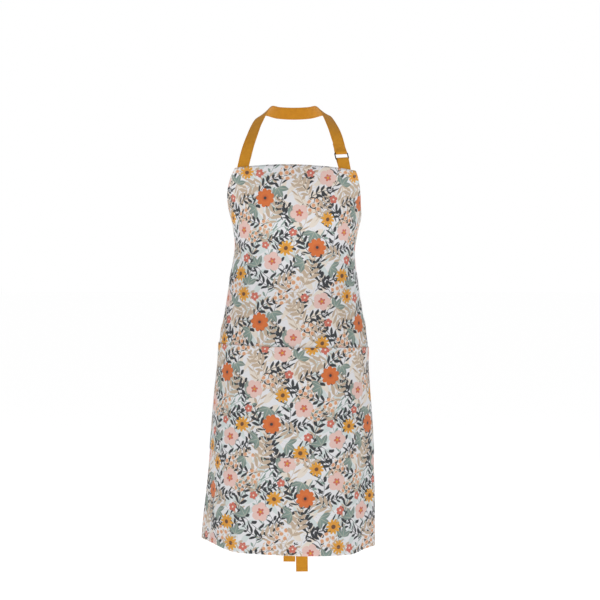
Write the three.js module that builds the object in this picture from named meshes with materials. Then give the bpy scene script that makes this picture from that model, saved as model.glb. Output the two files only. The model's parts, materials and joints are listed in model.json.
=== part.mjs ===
// A bib apron of printed cotton, in the form that it takes when it is worn.
// Millimetres. The wearer faces -Y, +X is the viewer's right and +Z is up.
// The origin is where the neck strap hangs: the middle of its inner face at the nape.
import * as THREE from "three";

// The flat cloth
const APRON_LENGTH = 872;
const APRON_WIDTH = 730;
const BIB_WIDTH = 280;
const BIB_HEIGHT = 290;
const ARMHOLE_CURVE = 1.05;
const CLOTH = 1.2;
const TOP_HEM = 25;
const BOTTOM_HEM = 20;
const SIDE_HEM = 10;
const HEM_STEP = 3;
const HEM_LAYERS = 2;

// How it hangs
const TOP_ARCH = 10;
const SLANT = 8;
const HEM_LIFT = 12;
const LIFT_REACH = 8;
const LIFT_FROM = 0.36;
const LIFT_TO = 0.6;
const TURN_AT_TOP = 0;
const TURN_AT_HEM = -42;

// The patch pocket
const POCKET_WIDTH = 600;
const POCKET_HEIGHT = 246;
const POCKET_DOWN = 410;

// The tape of the straps and ties
const TAPE_WIDTH = 28;
const TAPE = 1.6;
const TAPE_TUCK = TOP_HEM;
const TAPE_FOLD = 24;
const LEFT_STRAP_INSET = 18;
const RIGHT_STRAP_INSET = 25;
const NECK_MIDDLE = -4;
const NECK_HALF_WIDTH = 61;
const NECK_BACK = 72;
const NECK_RISE = 131;
const NECK_FORWARD = 2;
const NAPE_DROP = 5;
const NAPE_START = 0.35;

// The ring
const RING_WIRE = 2.6;
const RING_WINDOW_WIDTH = TAPE_WIDTH + 1.2;
const RING_WINDOW_HEIGHT = 12.8;
const RING_CORNER = 3;
const RING_RISE = 33;

// The ties
const TIE_BELOW_ARMHOLE = 2;
const TIE_DOWN = BIB_HEIGHT + TIE_BELOW_ARMHOLE + TAPE_WIDTH / 2;
const TIE_SEWN = 30;
const KNOT_WIDTH = 34;
const KNOT_HEIGHT = 30;
const KNOT_DEPTH = 17;
const KNOT_ROUND = 4;
const TAIL_LENGTH = 632;
const SHORT_TAIL_CUT = 24;
const TAIL_SPREAD = 14;
const TAIL_SETBACK = 17;

// The clearances that touching pieces keep, and a flat tape behind bowed cloth
const GAP = 0.3;
const BOWED_GAP = 0.5;

// Steps of the meshes
const COLUMNS_BEHIND_POCKET = 12;
const COLUMNS_BESIDE_POCKET = 4;
const HEM_ROWS = 2;
const BIB_ROWS = 9;
const TIE_ROWS = 2;
const WAIST_ROWS = 2;
const POCKET_ROWS = 7;
const SKIRT_ROWS = 5;
const BEND_STEPS = 6;
const NAPE_KEYS = 4;
const LOOP_STEPS = 40;
const SECTION_STEPS = 180;

// Level sections of the hanging cloth. down is a share of APRON_LENGTH. left and right are the
// half widths, and front and back the half depths, as shares of APRON_WIDTH.
const SECTIONS = [
  { down: 0.0, left: 0.274, right: 0.27, front: 0.162, back: 0.15 },
  { down: 0.035, left: 0.242, right: 0.232, front: 0.17, back: 0.15 },
  { down: 0.08, left: 0.219, right: 0.21, front: 0.175, back: 0.148 },
  { down: 0.125, left: 0.206, right: 0.205, front: 0.174, back: 0.146 },
  { down: 0.17, left: 0.195, right: 0.194, front: 0.165, back: 0.144 },
  { down: 0.215, left: 0.19, right: 0.186, front: 0.153, back: 0.146 },
  { down: 0.275, left: 0.2, right: 0.191, front: 0.148, back: 0.155 },
  { down: 0.33, left: 0.211, right: 0.201, front: 0.154, back: 0.163 },
  { down: 0.39, left: 0.222, right: 0.212, front: 0.165, back: 0.172 },
  { down: 0.46, left: 0.237, right: 0.226, front: 0.176, back: 0.18 },
  { down: 0.53, left: 0.244, right: 0.228, front: 0.184, back: 0.185 },
  { down: 0.6, left: 0.253, right: 0.233, front: 0.19, back: 0.187 },
  { down: 0.69, left: 0.261, right: 0.24, front: 0.196, back: 0.188 },
  { down: 0.78, left: 0.268, right: 0.244, front: 0.2, back: 0.188 },
  { down: 0.87, left: 0.276, right: 0.247, front: 0.203, back: 0.188 },
  { down: 0.94, left: 0.284, right: 0.248, front: 0.205, back: 0.188 },
  { down: 1.0, left: 0.289, right: 0.249, front: 0.206, back: 0.188 },
];

// Soft upright folds of the skirt. across is a share of the half width, from -1 to 1, spread the
// share that the fold takes up, and depth a share of APRON_WIDTH, outward where positive. The fold
// fades in from the share of APRON_LENGTH in from.
const FOLDS = [
  { across: 0.6, spread: 0.07, depth: -0.008, from: 0.52 },
  { across: 0.71, spread: 0.08, depth: 0.009, from: 0.48 },
  { across: 0.86, spread: 0.09, depth: -0.013, from: 0.42 },
  { across: 0.3, spread: 0.12, depth: 0.004, from: 0.6 },
  { across: -0.05, spread: 0.12, depth: -0.004, from: 0.62 },
  { across: -0.34, spread: 0.11, depth: 0.004, from: 0.55 },
  { across: -0.56, spread: 0.09, depth: -0.006, from: 0.5 },
  { across: -0.72, spread: 0.09, depth: 0.01, from: 0.45 },
  { across: -0.88, spread: 0.09, depth: -0.013, from: 0.42 },
];

// Route of the neck strap from the bib to the side of the neck: shares of the way inward, back and up.
const ROUTE = [
  { inward: 0.1, back: 0.07, up: 0.17 },
  { inward: 0.22, back: 0.18, up: 0.35 },
  { inward: 0.38, back: 0.36, up: 0.54 },
  { inward: 0.56, back: 0.6, up: 0.73 },
  { inward: 0.79, back: 0.83, up: 0.89 },
];

// Direction from the middle of the tape to its outer edge, on the bib, at the side of the neck and
// at the nape. outward is away from the middle of the body.
const EDGE_AT_BIB = { outward: 1, back: 0.38, up: 0 };
const EDGE_AT_NECK = { outward: 0.8, back: 0.05, up: -0.6 };
const EDGE_AT_NAPE = { outward: 0, back: 0.22, up: -0.97 };

// Fall of a tie's tail: shares of its length down, of TAIL_SPREAD sideways and of TAIL_SETBACK back.
const TAIL_FALL = [
  { down: 0.0, aside: 0.0, back: 0.0 },
  { down: 0.03, aside: 0.0, back: 0.0 },
  { down: 0.1, aside: 0.4, back: 0.4 },
  { down: 0.2, aside: 0.7, back: 0.85 },
  { down: 0.35, aside: 0.85, back: 1.0 },
  { down: 0.55, aside: 1.0, back: 1.0 },
  { down: 0.78, aside: 0.9, back: 0.95 },
  { down: 1.0, aside: 1.0, back: 0.98 },
];

const COTTON = new THREE.MeshStandardMaterial({ color: 0xe2dedb, roughness: 0.92, metalness: 0 });
const OCHRE_TAPE = new THREE.MeshStandardMaterial({ color: 0xbe8223, roughness: 0.9, metalness: 0 });
const BRONZE = new THREE.MeshStandardMaterial({ color: 0x463420, roughness: 0.42, metalness: 1 });

const vec = (x, y, z) => new THREE.Vector3(x, y, z);
const smooth = (t) => t * t * (3 - 2 * t);

// Smooth curve through the rows of a table at equal or unequal values of its key column.
function through(table, key, column, at) {
  const last = table.length - 1;
  let i = 0;
  while (i < last - 1 && table[i + 1][key] < at) i += 1;
  const slope = (j) => {
    const a = Math.max(j - 1, 0);
    const b = Math.min(j + 1, last);
    return (table[b][column] - table[a][column]) / (table[b][key] - table[a][key]);
  };
  const step = table[i + 1][key] - table[i][key];
  const t = THREE.MathUtils.clamp((at - table[i][key]) / step, 0, 1);
  const rise = smooth(t);
  return (
    table[i][column] * (1 - rise) +
    table[i + 1][column] * rise +
    step * (slope(i) * t * (1 - t) ** 2 - slope(i + 1) * t * t * (1 - t))
  );
}

// Sizes of the cloth at a flat distance down from the bib's top edge
const sectionSize = (column, down) =>
  APRON_WIDTH * through(SECTIONS, "down", column, down / APRON_LENGTH);

function halfWidth(down) {
  const share = Math.min(down / BIB_HEIGHT, 1);
  return (BIB_WIDTH + (APRON_WIDTH - BIB_WIDTH) * share ** ARMHOLE_CURVE) / 2;
}

// Height of the middle of the cloth, which falls less where the front leans in or out.
const heightAt = (() => {
  const step = APRON_LENGTH / SECTION_STEPS;
  const heights = [0];
  for (let i = 1; i <= SECTION_STEPS; i += 1) {
    const lean = sectionSize("front", i * step) - sectionSize("front", (i - 1) * step);
    heights.push(heights[i - 1] - Math.sqrt(Math.max(step * step - lean * lean, 0)));
  }
  return (down) => {
    const place = THREE.MathUtils.clamp(down / step, 0, SECTION_STEPS);
    const i = Math.min(Math.floor(place), SECTION_STEPS - 1);
    return THREE.MathUtils.lerp(heights[i], heights[i + 1], place - i);
  };
})();

// A level section as an outline that is walked by its own length from the middle of the front.
const outlines = new Map();
function outlineAt(down) {
  if (outlines.has(down)) return outlines.get(down);
  const [left, right, front, back] = ["left", "right", "front", "back"].map((side) =>
    sectionSize(side, down),
  );
  const walk = (side) => {
    const points = [{ x: 0, y: -front, along: 0 }];
    for (let i = 1; i <= SECTION_STEPS; i += 1) {
      const angle = (Math.PI * i) / SECTION_STEPS;
      const x = side * Math.sin(angle) * (side < 0 ? left : right);
      const y = -Math.cos(angle) * (Math.cos(angle) > 0 ? front : back);
      const before = points[i - 1];
      points.push({ x, y, along: before.along + Math.hypot(x - before.x, y - before.y) });
    }
    return points;
  };
  const made = { [-1]: walk(-1), [1]: walk(1) };
  outlines.set(down, made);
  return made;
}

function onOutline(down, along) {
  const points = outlineAt(down)[along < 0 ? -1 : 1];
  const distance = Math.min(Math.abs(along), points.at(-1).along);
  const i = Math.max(points.findIndex((p) => p.along >= distance), 1);
  const [a, b] = [points[i - 1], points[i]];
  const t = (distance - a.along) / (b.along - a.along);
  return { x: a.x + (b.x - a.x) * t, y: a.y + (b.y - a.y) * t };
}

function foldDepth(across, down) {
  const share = across / halfWidth(down);
  return FOLDS.reduce((sum, fold) => {
    const grown = THREE.MathUtils.clamp((down / APRON_LENGTH - fold.from) / (1 - fold.from), 0, 1);
    const away = (share - fold.across) / fold.spread;
    return sum + APRON_WIDTH * fold.depth * smooth(grown) * Math.exp(-away * away);
  }, 0);
}

// The outer face of the hanging cloth before its folds, at a flat place across and down.
function bareCloth(across, down) {
  const share = down / APRON_LENGTH;
  const along = across + THREE.MathUtils.lerp(TURN_AT_TOP, TURN_AT_HEM, share);
  const { x, y } = onOutline(down, along);
  const aside = across / halfWidth(down);
  const arch = TOP_ARCH * aside * aside * Math.max(1 - down / BIB_HEIGHT, 0) ** 2;
  const round = (2 * along) / APRON_WIDTH;
  const atSide = THREE.MathUtils.smoothstep(Math.abs(round), LIFT_FROM, LIFT_TO);
  const lift = HEM_LIFT * atSide * share ** LIFT_REACH;
  return vec(x, y, heightAt(down) - arch - SLANT * round + lift);
}

function clothNormal(surface, across, down) {
  const nudge = 1;
  const top = Math.max(down - nudge, 0);
  const bottom = Math.min(down + nudge, APRON_LENGTH);
  const sideways = surface(across + nudge, down).sub(surface(across - nudge, down));
  const downward = surface(across, bottom).sub(surface(across, top));
  return downward.cross(sideways).normalize();
}

function foldedCloth(across, down) {
  const out = clothNormal(bareCloth, across, down);
  return bareCloth(across, down).addScaledVector(out, foldDepth(across, down));
}

// A place on the cloth, moved outward from its outer face.
function onCloth(across, down, outward = 0) {
  const out = clothNormal(foldedCloth, across, down);
  return foldedCloth(across, down).addScaledVector(out, outward);
}

// A closed solid between two grids of points with as many rows and columns.
function closedSheet(outer, inner) {
  const rows = outer.length;
  const columns = outer[0].length;
  const points = [...outer.flat(), ...inner.flat()];
  const faces = [];
  const front = (r, c) => r * columns + c;
  const rear = (r, c) => (rows + r) * columns + c;
  const quad = (a, b, c, d) => faces.push(a, b, c, a, c, d);
  for (let r = 0; r < rows - 1; r += 1) {
    for (let c = 0; c < columns - 1; c += 1) {
      quad(front(r, c), front(r + 1, c), front(r + 1, c + 1), front(r, c + 1));
      quad(rear(r, c), rear(r, c + 1), rear(r + 1, c + 1), rear(r + 1, c));
    }
    quad(front(r, 0), rear(r, 0), rear(r + 1, 0), front(r + 1, 0));
    const end = columns - 1;
    quad(front(r, end), front(r + 1, end), rear(r + 1, end), rear(r, end));
  }
  for (let c = 0; c < columns - 1; c += 1) {
    quad(front(0, c), front(0, c + 1), rear(0, c + 1), rear(0, c));
    const end = rows - 1;
    quad(front(end, c), rear(end, c), rear(end, c + 1), front(end, c + 1));
  }
  const geometry = new THREE.BufferGeometry().setFromPoints(points);
  geometry.setIndex(faces);
  geometry.computeVertexNormals();
  return geometry;
}

const evenly = (from, to, steps) =>
  Array.from({ length: steps + 1 }, (_, i) => from + ((to - from) * i) / steps);

// Columns of the panel as flat distances across. Those behind the pocket line up with the pocket's.
function columnsAt(down) {
  const body = halfWidth(down) - SIDE_HEM - HEM_STEP;
  const pocketShare = POCKET_WIDTH / 2 / (APRON_WIDTH / 2 - SIDE_HEM - HEM_STEP);
  const shares = [
    ...evenly(0, pocketShare, COLUMNS_BEHIND_POCKET),
    ...evenly(pocketShare, 1, COLUMNS_BESIDE_POCKET).slice(1),
  ];
  const right = [...shares.map((s) => s * body), halfWidth(down) - SIDE_HEM, halfWidth(down)];
  return [...right.slice(1).reverse().map((across) => -across), ...right];
}

const pocketRows = () => evenly(POCKET_DOWN, POCKET_DOWN + POCKET_HEIGHT, POCKET_ROWS);

function panelRows() {
  const hemTop = APRON_LENGTH - BOTTOM_HEM;
  const tieBottom = TIE_DOWN + TAPE_WIDTH / 2;
  return [
    ...evenly(0, TOP_HEM, HEM_ROWS),
    ...evenly(TOP_HEM + HEM_STEP, BIB_HEIGHT, BIB_ROWS),
    ...evenly(BIB_HEIGHT, tieBottom, TIE_ROWS).slice(1),
    ...evenly(tieBottom, POCKET_DOWN, WAIST_ROWS).slice(1),
    ...pocketRows().slice(1),
    ...evenly(POCKET_DOWN + POCKET_HEIGHT, hemTop - HEM_STEP, SKIRT_ROWS).slice(1),
    hemTop,
    APRON_LENGTH,
  ];
}

function makePanel() {
  const inHem = (across, down) =>
    down <= TOP_HEM ||
    down >= APRON_LENGTH - BOTTOM_HEM ||
    Math.abs(across) >= halfWidth(down) - SIDE_HEM;
  const grid = (place) => panelRows().map((down) => columnsAt(down).map((across) => place(across, down)));
  return closedSheet(
    grid((across, down) => onCloth(across, down)),
    grid((across, down) => onCloth(across, down, -CLOTH * (inHem(across, down) ? HEM_LAYERS : 1))),
  );
}

function makePocket() {
  const across = columnsAt(POCKET_DOWN).filter((u) => Math.abs(u) <= POCKET_WIDTH / 2 + GAP);
  const grid = (outward) => pocketRows().map((down) => across.map((u) => onCloth(u, down, outward)));
  return closedSheet(grid(GAP + CLOTH), grid(GAP));
}

// A tape along a line of stations, each with its middle point and the direction of one edge.
function tapeAlong(stations) {
  const outer = [];
  const inner = [];
  stations.forEach(({ point, edge }, i) => {
    const before = stations[Math.max(i - 1, 0)].point;
    const after = stations[Math.min(i + 1, stations.length - 1)].point;
    const along = after.clone().sub(before).normalize();
    const side = edge.clone().addScaledVector(along, -edge.dot(along)).normalize();
    const out = along.clone().cross(side);
    const corner = (across, outward) =>
      point
        .clone()
        .addScaledVector(side, (across * TAPE_WIDTH) / 2)
        .addScaledVector(out, (outward * TAPE) / 2);
    outer.push([corner(-1, 1), corner(1, 1)]);
    inner.push([corner(-1, -1), corner(1, -1)]);
  });
  return closedSheet(outer, inner);
}

const edgeToward = (side, { outward, back, up }) => vec(side * outward, back, up);

// Middle of a tape that lies behind the cloth, with layers of tape between them.
const behindCloth = (across, down, layers = 0) =>
  onCloth(across, down, -CLOTH * HEM_LAYERS - BOWED_GAP - TAPE / 2 - layers * (TAPE + GAP));

// A station of a flat upright tape behind the bib, which is bowed and touches it at its edges.
function behindBib(across, down, layers = 0) {
  const [left, right] = [-1, 1].map((end) =>
    behindCloth(across + (end * TAPE_WIDTH) / 2, down, layers),
  );
  const edge = right.clone().sub(left).multiplyScalar(Math.sign(across));
  return { point: left.add(right).multiplyScalar(0.5), edge };
}

// Where the loop passes the side of the neck
const neckPoint = (side) => vec(NECK_MIDDLE + side * NECK_HALF_WIDTH, NECK_FORWARD, NECK_RISE);

// Stations of the tape from a start near the bib up to the side of the neck
function routeToNeck(start, side) {
  const neck = neckPoint(side);
  return ROUTE.map(({ inward, back, up }) => ({
    point: vec(
      THREE.MathUtils.lerp(start.x, neck.x, inward),
      THREE.MathUtils.lerp(start.y, neck.y, back),
      THREE.MathUtils.lerp(start.z, neck.z, up),
    ),
    edge: edgeToward(side, EDGE_AT_BIB).lerp(edgeToward(side, EDGE_AT_NECK), up),
  }));
}

// Stations of the tape round the back of the neck, from its left side to its right
function roundNeck() {
  return evenly(NAPE_START, Math.PI - NAPE_START, NAPE_KEYS).map((angle) => {
    const side = -Math.cos(angle);
    const behind = Math.sin(angle);
    const edge = edgeToward(Math.sign(side), EDGE_AT_NECK).multiplyScalar(Math.abs(side));
    edge.add(edgeToward(0, EDGE_AT_NAPE).multiplyScalar(behind));
    const point = neckPoint(side).add(vec(0, NECK_BACK * behind, -NAPE_DROP * behind));
    return { point, edge };
  });
}

// Rounds the corners of a row of stations.
function smoothed(stations, steps) {
  const points = new THREE.CatmullRomCurve3(stations.map(({ point }) => point));
  const edges = new THREE.CatmullRomCurve3(stations.map(({ edge }) => edge));
  return evenly(0, 1, steps).map((t) => ({ point: points.getPoint(t), edge: edges.getPoint(t) }));
}

// The ring's own frame: its middle, the way up along the strap, across it and outward.
function ringFrame() {
  const across = BIB_WIDTH / 2 - RIGHT_STRAP_INSET;
  const { point: foot, edge } = behindBib(across, 0);
  const goal = routeToNeck(foot, 1)[1].point;
  const up = goal.sub(foot).normalize();
  const side = edge.addScaledVector(up, -edge.dot(up)).normalize();
  const out = side.clone().cross(up);
  const middle = foot.clone().addScaledVector(up, RING_RISE);
  return { middle, up, side, out, across };
}

const BAR_TO_MIDDLE = (RING_WINDOW_HEIGHT + RING_WIRE) / 2;
const BEND_RADIUS = RING_WIRE * Math.SQRT1_2 + GAP + TAPE / 2;

// Stations of the tape where it goes round one bar of the ring. way is 1 for the upper bar and -1
// for the lower one, and the tape is walked from its front layer, through the window, to the back.
function roundBar(frame, way) {
  const bar = frame.middle.clone().addScaledVector(frame.up, way * BAR_TO_MIDDLE);
  return evenly(0, Math.PI, BEND_STEPS).map((angle) => ({
    point: bar
      .clone()
      .addScaledVector(frame.out, BEND_RADIUS * Math.cos(angle))
      .addScaledVector(frame.up, -way * BEND_RADIUS * Math.sin(angle)),
    edge: frame.side.clone(),
  }));
}

function makeLongStrap() {
  const across = -(BIB_WIDTH / 2 - LEFT_STRAP_INSET);
  const tucked = [TAPE_TUCK, TAPE_TUCK / 2, 0].map((down) => behindBib(across, down));
  const frame = ringFrame();
  const bend = roundBar(frame, 1);
  const layerApart = TAPE + GAP;
  const aboveBar = (up, out) =>
    frame.middle
      .clone()
      .addScaledVector(frame.up, BAR_TO_MIDDLE + up)
      .addScaledVector(frame.out, out);
  const joined = aboveBar(TAPE_FOLD / 2, layerApart / 2);
  const foldEnd = [TAPE_FOLD / 2, TAPE_FOLD].map((up) => ({
    point: aboveBar(up, -layerApart / 2),
    edge: frame.side.clone(),
  }));
  const front = { point: joined, edge: frame.side.clone() };
  const upper = { point: aboveBar(TAPE_FOLD, layerApart / 2), edge: frame.side.clone() };
  const loop = [
    tucked[2],
    ...routeToNeck(tucked[2].point, -1),
    ...roundNeck(),
    ...routeToNeck(upper.point, 1).reverse(),
    upper,
  ];
  return tapeAlong([
    ...tucked.slice(0, 2),
    ...smoothed(loop, LOOP_STEPS),
    front,
    ...bend,
    ...foldEnd,
  ]);
}

function makeShortStrap() {
  const frame = ringFrame();
  const frontLayer = [TAPE_TUCK, TAPE_TUCK / 2, 0].map((down) => behindBib(frame.across, down));
  const backLayer = [0, TAPE_TUCK / 2, TAPE_TUCK].map((down) => behindBib(frame.across, down, 1));
  return tapeAlong([...frontLayer, ...roundBar(frame, -1), ...backLayer]);
}

function roundedRectangle(width, height, corner) {
  const [x, y] = [width / 2, height / 2];
  const shape = new THREE.Shape();
  shape.moveTo(-x + corner, -y);
  shape.lineTo(x - corner, -y);
  shape.absarc(x - corner, -y + corner, corner, -Math.PI / 2, 0, false);
  shape.lineTo(x, y - corner);
  shape.absarc(x - corner, y - corner, corner, 0, Math.PI / 2, false);
  shape.lineTo(-x + corner, y);
  shape.absarc(-x + corner, y - corner, corner, Math.PI / 2, Math.PI, false);
  shape.lineTo(-x, -y + corner);
  shape.absarc(-x + corner, -y + corner, corner, Math.PI, 1.5 * Math.PI, false);
  return shape;
}

function makeRing() {
  const shape = roundedRectangle(
    RING_WINDOW_WIDTH + 2 * RING_WIRE,
    RING_WINDOW_HEIGHT + 2 * RING_WIRE,
    RING_CORNER,
  );
  const window = roundedRectangle(RING_WINDOW_WIDTH, RING_WINDOW_HEIGHT, RING_WIRE / 4);
  shape.holes.push(new THREE.Path(window.getPoints(2)));
  const depth = RING_WIRE;
  const geometry = new THREE.ExtrudeGeometry(shape, { depth, bevelEnabled: false, curveSegments: 3 });
  const frame = ringFrame();
  const place = new THREE.Matrix4().makeBasis(frame.side, frame.up, frame.out);
  return geometry.translate(0, 0, -depth / 2).applyMatrix4(place.setPosition(frame.middle));
}

// Middle of the back, where the ties are knotted, on the outside of the waist.
function knotMiddle() {
  const back = sectionSize("back", TIE_DOWN);
  return vec(0, back - CLOTH * HEM_LAYERS - BOWED_GAP - TAPE / 2, heightAt(TIE_DOWN));
}

function makeKnot() {
  const bevel = KNOT_ROUND / 2;
  const shape = roundedRectangle(KNOT_WIDTH - 2 * bevel, KNOT_HEIGHT - 2 * bevel, bevel);
  const geometry = new THREE.ExtrudeGeometry(shape, {
    depth: KNOT_DEPTH - 2 * bevel,
    bevelSize: bevel,
    bevelThickness: bevel,
    bevelSegments: 2,
    curveSegments: 3,
  });
  const middle = knotMiddle();
  return geometry
    .translate(0, 0, bevel - KNOT_DEPTH / 2)
    .rotateX(Math.PI / 2)
    .translate(middle.x, middle.y, middle.z);
}

// A tie from behind its side hem to the side of the knot
function makeTie(side) {
  const upright = vec(0, 0, side);
  const sewn = [TIE_SEWN, TIE_SEWN / 2, 0].map((inset) => {
    const across = side * (halfWidth(TIE_DOWN) - inset);
    const [top, bottom] = [-1, 1].map((end) =>
      behindCloth(across, TIE_DOWN + (end * TAPE_WIDTH) / 2),
    );
    const edge = top.clone().sub(bottom).multiplyScalar(side);
    return { point: top.add(bottom).multiplyScalar(0.5), edge };
  });
  const end = knotMiddle().add(vec(side * (KNOT_WIDTH / 2 + GAP), 0, 0));
  const between = [1 / 3, 2 / 3].map((share) => ({
    point: sewn[2].point.clone().lerp(end, share),
    edge: upright.clone(),
  }));
  const level = end.clone().add(vec((side * TAPE_WIDTH) / 4, 0, 0));
  const last = [level, end].map((point) => ({ point, edge: upright.clone() }));
  return tapeAlong([...sewn, ...between, ...last]);
}

// A tail from under the knot. The two lie one behind the other where they leave it.
function makeTail(side, length) {
  const start = knotMiddle().add(vec(side * 1, (side * (TAPE + 3 * GAP)) / 2, -KNOT_HEIGHT / 2 - GAP));
  const stations = TAIL_FALL.map(({ down, aside, back }) => ({
    point: start.clone().add(vec(side * TAIL_SPREAD * aside, TAIL_SETBACK * back, -length * down)),
    edge: vec(-1, 0, 0),
  }));
  return tapeAlong(stations);
}

const worn = new THREE.Group();
function add(name, geometry, material) {
  const mesh = new THREE.Mesh(geometry, material);
  mesh.name = name;
  worn.add(mesh);
}

add("apron_panel", makePanel(), COTTON);
add("pocket", makePocket(), COTTON);
add("neck_strap_long", makeLongStrap(), OCHRE_TAPE);
add("neck_strap_short", makeShortStrap(), OCHRE_TAPE);
add("strap_ring", makeRing(), BRONZE);
add("waist_tie_left", makeTie(-1), OCHRE_TAPE);
add("waist_tie_right", makeTie(1), OCHRE_TAPE);
add("tie_knot", makeKnot(), OCHRE_TAPE);
add("tie_tail_left", makeTail(-1, TAIL_LENGTH - SHORT_TAIL_CUT), OCHRE_TAPE);
add("tie_tail_right", makeTail(1, TAIL_LENGTH), OCHRE_TAPE);

const nape = vec(NECK_MIDDLE, NECK_FORWARD + NECK_BACK - TAPE / 2, NECK_RISE - NAPE_DROP);
worn.position.copy(nape).negate();
const group = new THREE.Group();
group.add(worn);

export default group;
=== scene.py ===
"""Looks of a bib apron in its worn form: printed cotton, ochre tape, one bronze ring.

Metres. The wearer faces -Y and +Z is up. The origin is the nape, where the strap hangs.
"""

from __future__ import annotations

import json
import logging
import math
from collections.abc import Callable
from dataclasses import dataclass, field
from enum import Enum

import bmesh
import bpy
import numpy as np
from mathutils import Matrix, Vector

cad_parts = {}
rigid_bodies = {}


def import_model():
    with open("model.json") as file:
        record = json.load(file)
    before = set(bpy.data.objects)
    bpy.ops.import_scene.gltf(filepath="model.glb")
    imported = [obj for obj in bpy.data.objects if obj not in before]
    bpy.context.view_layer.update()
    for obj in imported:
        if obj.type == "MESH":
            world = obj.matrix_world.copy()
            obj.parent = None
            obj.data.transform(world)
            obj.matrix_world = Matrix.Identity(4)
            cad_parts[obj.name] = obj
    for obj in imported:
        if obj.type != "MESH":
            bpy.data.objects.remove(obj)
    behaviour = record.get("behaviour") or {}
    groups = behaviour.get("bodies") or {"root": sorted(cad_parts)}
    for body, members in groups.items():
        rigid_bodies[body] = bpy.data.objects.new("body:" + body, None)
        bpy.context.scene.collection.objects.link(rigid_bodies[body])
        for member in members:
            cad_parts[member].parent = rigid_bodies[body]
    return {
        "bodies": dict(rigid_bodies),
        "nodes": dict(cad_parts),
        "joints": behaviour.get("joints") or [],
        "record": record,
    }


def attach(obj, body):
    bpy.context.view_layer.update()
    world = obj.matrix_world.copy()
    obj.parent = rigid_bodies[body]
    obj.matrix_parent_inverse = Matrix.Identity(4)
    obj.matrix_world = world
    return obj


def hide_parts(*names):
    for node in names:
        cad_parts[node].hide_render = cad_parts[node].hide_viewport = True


log = logging.getLogger("apron")

ROOT = "root"
FLAT = "flat"
INSIDE = "inside"
NUMBER = "NodeSocketFloat"
TINT = "NodeSocketColor"
GAP = 0.0003
PROUD = 0.0001
FULL_TURN = 2 * math.pi
Array = np.ndarray
Triple = tuple[float, float, float]
Surface = Callable[[Array, Array, float], Array]
Colour = tuple[float, float, float, float]


def srgb(red: int, green: int, blue: int) -> Colour:
    """Turns a colour of 0 to 255 into the linear one that shaders use.

    Args:
        red: Red part.
        green: Green part.
        blue: Blue part.

    Returns:
        Linear red, green, blue and an alpha of 1.
    """
    parts = [c / 255 for c in (red, green, blue)]
    linear = [p / 12.92 if p <= 0.04045 else ((p + 0.055) / 1.055) ** 2.4 for p in parts]
    return (linear[0], linear[1], linear[2], 1.0)


def smooth(t: Array) -> Array:
    """Eases a share from 0 to 1."""
    return t * t * (3 - 2 * t)


def unit(rows: Array) -> Array:
    """Gives every row of numbers a length of 1."""
    return rows / np.linalg.norm(rows, axis=-1, keepdims=True)


def walk(points: Array) -> Array:
    """Distance walked from the first of the points to each."""
    return np.concatenate([[0], np.cumsum(np.linalg.norm(np.diff(points, axis=0), axis=1))])


def read_along(rows: Array, walked: Array, where: Array) -> Array:
    """Reads rows of three numbers by the distance walked."""
    return np.stack([np.interp(where, walked, rows[:, k]) for k in range(3)], axis=-1)


@dataclass(frozen=True)
class Section:
    """A level section of the hanging cloth.

    down is a share of the apron's length, the others are shares of its flat width.
    """

    down: float
    left: float
    right: float
    front: float
    back: float


@dataclass(frozen=True)
class Fold:
    """A soft upright fold of the skirt, in shares as the cut's sizes give them."""

    across: float
    spread: float
    depth: float
    start: float


@dataclass(frozen=True)
class Crease:
    """A long soft crease in the cloth: its middle, its turn from level, and its sizes."""

    across: float
    down: float
    turn: float
    length: float
    width: float
    depth: float


SECTIONS = (
    Section(0.0, 0.274, 0.27, 0.162, 0.15),
    Section(0.035, 0.242, 0.232, 0.17, 0.15),
    Section(0.08, 0.219, 0.21, 0.175, 0.148),
    Section(0.125, 0.206, 0.205, 0.174, 0.146),
    Section(0.17, 0.195, 0.194, 0.165, 0.144),
    Section(0.215, 0.19, 0.186, 0.153, 0.146),
    Section(0.275, 0.2, 0.191, 0.148, 0.155),
    Section(0.33, 0.211, 0.201, 0.154, 0.163),
    Section(0.39, 0.222, 0.212, 0.165, 0.172),
    Section(0.46, 0.237, 0.226, 0.176, 0.18),
    Section(0.53, 0.244, 0.228, 0.184, 0.185),
    Section(0.6, 0.253, 0.233, 0.19, 0.187),
    Section(0.69, 0.261, 0.24, 0.196, 0.188),
    Section(0.78, 0.268, 0.244, 0.2, 0.188),
    Section(0.87, 0.276, 0.247, 0.203, 0.188),
    Section(0.94, 0.284, 0.248, 0.205, 0.188),
    Section(1.0, 0.289, 0.249, 0.206, 0.188),
)

FOLDS = (
    Fold(0.6, 0.07, -0.008, 0.52),
    Fold(0.71, 0.08, 0.009, 0.48),
    Fold(0.86, 0.09, -0.013, 0.42),
    Fold(0.3, 0.12, 0.004, 0.6),
    Fold(-0.05, 0.12, -0.004, 0.62),
    Fold(-0.34, 0.11, 0.004, 0.55),
    Fold(-0.56, 0.09, -0.006, 0.5),
    Fold(-0.72, 0.09, 0.01, 0.45),
    Fold(-0.88, 0.09, -0.013, 0.42),
)

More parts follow.
